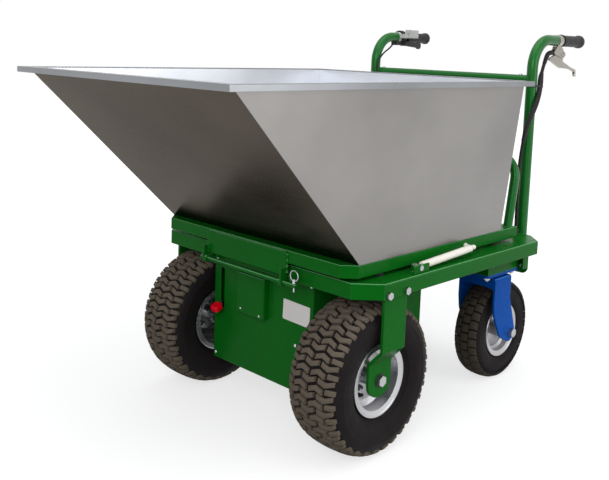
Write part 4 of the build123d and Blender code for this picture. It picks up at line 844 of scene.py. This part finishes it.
# %% Welds of the tipping frame
rails_low, rails_high = (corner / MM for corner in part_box("tipping_frame_rails"))
leaf_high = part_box("hinge_leaf")[1] / MM
front, top = rails_low.y - 0.7, rails_high.z + 0.2
HOOP_SEAMS = ((337, 324.15), (325.5, 336.65)), ((349, 331.65), (340, 350.65))
RAIL_SEAM_Y, RAIL_OUT, RAIL_IN = 273.15, 349, 330
bm = bmesh.new()
for sign in SIDES.values():
    leaf_edge = sign * (leaf_high.x + 0.5)
    weld(bm, (leaf_edge, front, 430), (leaf_edge, front, leaf_high.z - 1), 3.2)
    for (x0, y0), (x1, y1) in HOOP_SEAMS:
        weld(bm, (sign * x0, y0, top), (sign * x1, y1, top), 2.6)
    weld(bm, (sign * RAIL_OUT, RAIL_SEAM_Y, top + 0.6), (sign * RAIL_IN, RAIL_SEAM_Y, top + 0.6), 2.4)
weld(bm, (-147, front - 1.5, leaf_high.z + 0.4), (147, front - 1.5, leaf_high.z + 0.4), 2.2)
bmesh.ops.recalc_face_normals(bm, faces=bm.faces)
piece("hopper_frame_welds", bm, "hopper", "green_paint", green_enamel)

# %% Welds of the deck
LUG_FACES, LUG_FRONT, LUG_LOW, LUG_HIGH = (138.1, 145.1), -341.85, 398, 418
BOX_HALF_W, BOX_SEAM, BOX_SEAM_Z = 70.5, (275.65, 437.65), 406.5
bm = bmesh.new()
for side, sign in SIDES.items():
    for x in LUG_FACES:
        weld(bm, (sign * x, LUG_FRONT, LUG_LOW), (sign * x, LUG_FRONT, LUG_HIGH), 2.2)
    middle = pivots[side + "_caster_fork"].x
    for x in (middle - BOX_HALF_W, middle + BOX_HALF_W):
        weld(bm, (x, BOX_SEAM[0], BOX_SEAM_Z), (x, BOX_SEAM[1], BOX_SEAM_Z), 2.6)
bmesh.ops.recalc_face_normals(bm, faces=bm.faces)
piece("chassis_welds", bm, "chassis", "green_paint", green_enamel)

# %% [markdown]
# ## Cable sleeves
# The brake cable leaves its lever through a rubber boot, and further down it shares a thicker sleeve
# with a thin wire, tied to the post. The cable itself is in the CAD model, so only what is slipped over
# it is made here. A spline that follows the corners of the cable's route bends much as the cable does.

# %% Helper for sleeves
def sleeve(name, route, radii):
    """Rubber tube along a smooth line with a radius at each corner, in millimetres, made a mesh."""
    line = bpy.data.curves.new(name + "_line", "CURVE")
    line.dimensions = "3D"
    line.bevel_depth = MM
    line.bevel_resolution = 5
    line.resolution_u = 8
    line.use_fill_caps = True
    run = line.splines.new("NURBS")
    run.points.add(len(route) - 1)
    for point, spot, radius in zip(run.points, route, radii):
        point.co = (*(Vector(spot) * MM), 1)
        point.radius = radius
    run.order_u = 3
    run.use_endpoint_u = True
    drawn = bpy.data.objects.new(name + "_line", line)
    tube = bpy.data.meshes.new_from_object(drawn)
    bm = bmesh.new()
    bm.from_mesh(tube)
    bmesh.ops.remove_doubles(bm, verts=bm.verts, dist=1e-6)
    bmesh.ops.recalc_face_normals(bm, faces=bm.faces)
    bpy.data.objects.remove(drawn)
    bpy.data.curves.remove(line)
    bpy.data.meshes.remove(tube)
    piece(name, bm, "chassis", "black_rubber", black_rubber)


print("sleeve helper ready")

# %% Boot and sleeve of the brake cable
sleeve("brake_boot", [(300, 603, 985.5), (300, 573.7, 985.5), (301, 558, 964.8), (302.5, 548.6, 951.3)],
       (7.4, 7.2, 6.6, 5.7))
sleeve("brake_sleeve", [(306.5, 530, 925), (309, 521, 912.1), (317, 506, 885.2), (324, 488, 853.2),
                        (323.5, 469, 819), (318.5, 452, 785.9), (313, 442, 745), (311.5, 439, 722.5)],
       (5.6, 8.4, 8.4, 7.0, 8.0, 7.6, 6.8, 6.0))

# %% Tie of the brake cable
TIE_Z, TIE_W = 884.6, 5.0
TIED_POST, TIED_SLEEVE = (300, 485.05, 16.9), (316.9, 505.6, 8.9)
bm = bmesh.new()
for x, y, radius in (TIED_POST, TIED_SLEEVE):
    ring = bmesh.ops.create_cone(bm, cap_ends=True, segments=32, radius1=radius, radius2=radius, depth=TIE_W)
    bmesh.ops.translate(bm, verts=ring["verts"], vec=(x, y, TIE_Z))
band = bmesh.ops.convex_hull(bm, input=bm.verts)
bmesh.ops.delete(bm, geom=verts_of(band["geom_interior"]), context="VERTS")
bmesh.ops.transform(bm, matrix=to_metres, verts=bm.verts)
bmesh.ops.recalc_face_normals(bm, faces=bm.faces)
piece("cable_tie", bm, "chassis", "black_rubber", black_plastic)

# %% [markdown]
# ## Folded edges of the caster forks
# The crown of each fork is pressed from sheet, and its front and rear edges are folded down to stiffen
# it. A row of points gives the arched lower edge. Extruding it up and then back makes the folded strip,
# and a bevel rounds what the press rounds.

# %% Fork crowns
FOLD_T, FOLD_TOP, FOLD_HALF_W, FOLD_ROUND = 5.0, 321.0, 57.0, 1.6
ARCH_STEPS, SHARP = 12, 1.0


def folded_edge(bm, middle, y, low, rise):
    """Strip between the legs of a fork, with an arched lower edge, in millimetres."""
    before = set(bm.verts)
    spots = [FOLD_HALF_W * (2 * i / ARCH_STEPS - 1) for i in range(ARCH_STEPS + 1)]
    foot = [bm.verts.new((middle + x, y, low + rise * (1 - (x / FOLD_HALF_W) ** 4))) for x in spots]
    edges = [bm.edges.new(pair) for pair in zip(foot, foot[1:])]
    wall = bmesh.ops.extrude_edge_only(bm, edges=edges)["geom"]
    for vert in verts_of(wall):
        vert.co.z = FOLD_TOP
    faces = [f for f in wall if isinstance(f, bmesh.types.BMFace)]
    back = bmesh.ops.extrude_face_region(bm, geom=faces)["geom"]
    bmesh.ops.translate(bm, verts=verts_of(back), vec=(0, FOLD_T, 0))
    mine = {e for v in verts_since(bm, before) for e in v.link_edges}
    lengthwise = [e for e in mine if abs(e.verts[0].co.x - e.verts[1].co.x) > 1]
    soften(bm, [e for e in lengthwise if len(e.link_faces) == 2 and e.calc_face_angle(0) > SHARP], FOLD_ROUND)
    bmesh.ops.transform(bm, matrix=to_metres, verts=verts_since(bm, before))


for side in SIDES:
    body = side + "_caster_fork"
    bm = bmesh.new()
    folded_edge(bm, pivots[body].x, y=326.7, low=292.0, rise=6.0)
    folded_edge(bm, pivots[body].x, y=408.4, low=306.0, rise=4.0)
    bmesh.ops.recalc_face_normals(bm, faces=bm.faces)
    piece(side + "_fork_folds", bm, body, "blue_paint", blue_enamel)

# %% Screws of the brake perch
PERCH_HALF_W = 7.6
bm = bmesh.new()
for sign in SIDES.values():
    spot = pivots["brake_lever"] + Vector((sign * PERCH_HALF_W, 0, 0))
    hex_head(bm, across=10.0, height=4.5, place=toward((sign, 0, 0), spot))
piece("perch_screws", bm, "chassis", "zinc", zinc_plate)

# %% [markdown]
# ## Ends of the gas springs
# The tube of a gas spring is closed at the rod's end by a pressed cap that wipes the rod, and a bevelled
# disc on the spring's axis has that shape. The outer wall of each clevis is longer than the eye of the
# rod and guards the cap. Its outline is a row of points with two rounded corners, which is extruded to
# the sheet's thickness and bevelled.

# %% Caps and clevis walls
SPRING_X, CAP_R, CAP_NEAR, CAP_FAR = 379, 9.4, -16.0, -41.0
WALL_X, WALL_T, WALL_FOOT, WALL_ROUND = 389.0, 2.4, 445.1, 3
CORNER_FRONT, CORNER_REAR, CORNER_Z = -24.0, 30.0, 463.5
bolt = pivots["gas_rods"]
rod_way = -Vector(joints["gas_cylinders"]["axis"])
outline = [(CORNER_FRONT - WALL_ROUND, WALL_FOOT), (CORNER_REAR + WALL_ROUND, WALL_FOOT)]
for turn in range(0, 181, 30):
    y = (CORNER_REAR if turn <= 90 else CORNER_FRONT) + WALL_ROUND * math.cos(math.radians(turn))
    outline.append((y, CORNER_Z + WALL_ROUND * math.sin(math.radians(turn))))
caps, walls = bmesh.new(), bmesh.new()
for sign in SIDES.values():
    disc(caps, segments=40, radius=CAP_R, low=CAP_FAR, high=CAP_NEAR, bevel=1.6,
         place=toward(rod_way, (sign * SPRING_X, bolt.y, bolt.z)))
    face = walls.faces.new([walls.verts.new((sign * WALL_X, bolt.y + y, z)) for y, z in outline])
    grown = bmesh.ops.extrude_face_region(walls, geom=[face])["geom"]
    bmesh.ops.translate(walls, verts=verts_of(grown), vec=(sign * WALL_T, 0, 0))
soften(walls, [e for e in walls.edges if all(abs(v.co.x) > WALL_X + WALL_T / 2 for v in e.verts)], 0.7)
bmesh.ops.recalc_face_normals(walls, faces=walls.faces)
bmesh.ops.transform(walls, matrix=to_metres, verts=walls.verts)
piece("spring_caps", caps, "gas_cylinders", "cream_paint", cream_enamel)
piece("clevis_walls", walls, "chassis", "green_paint", green_enamel)
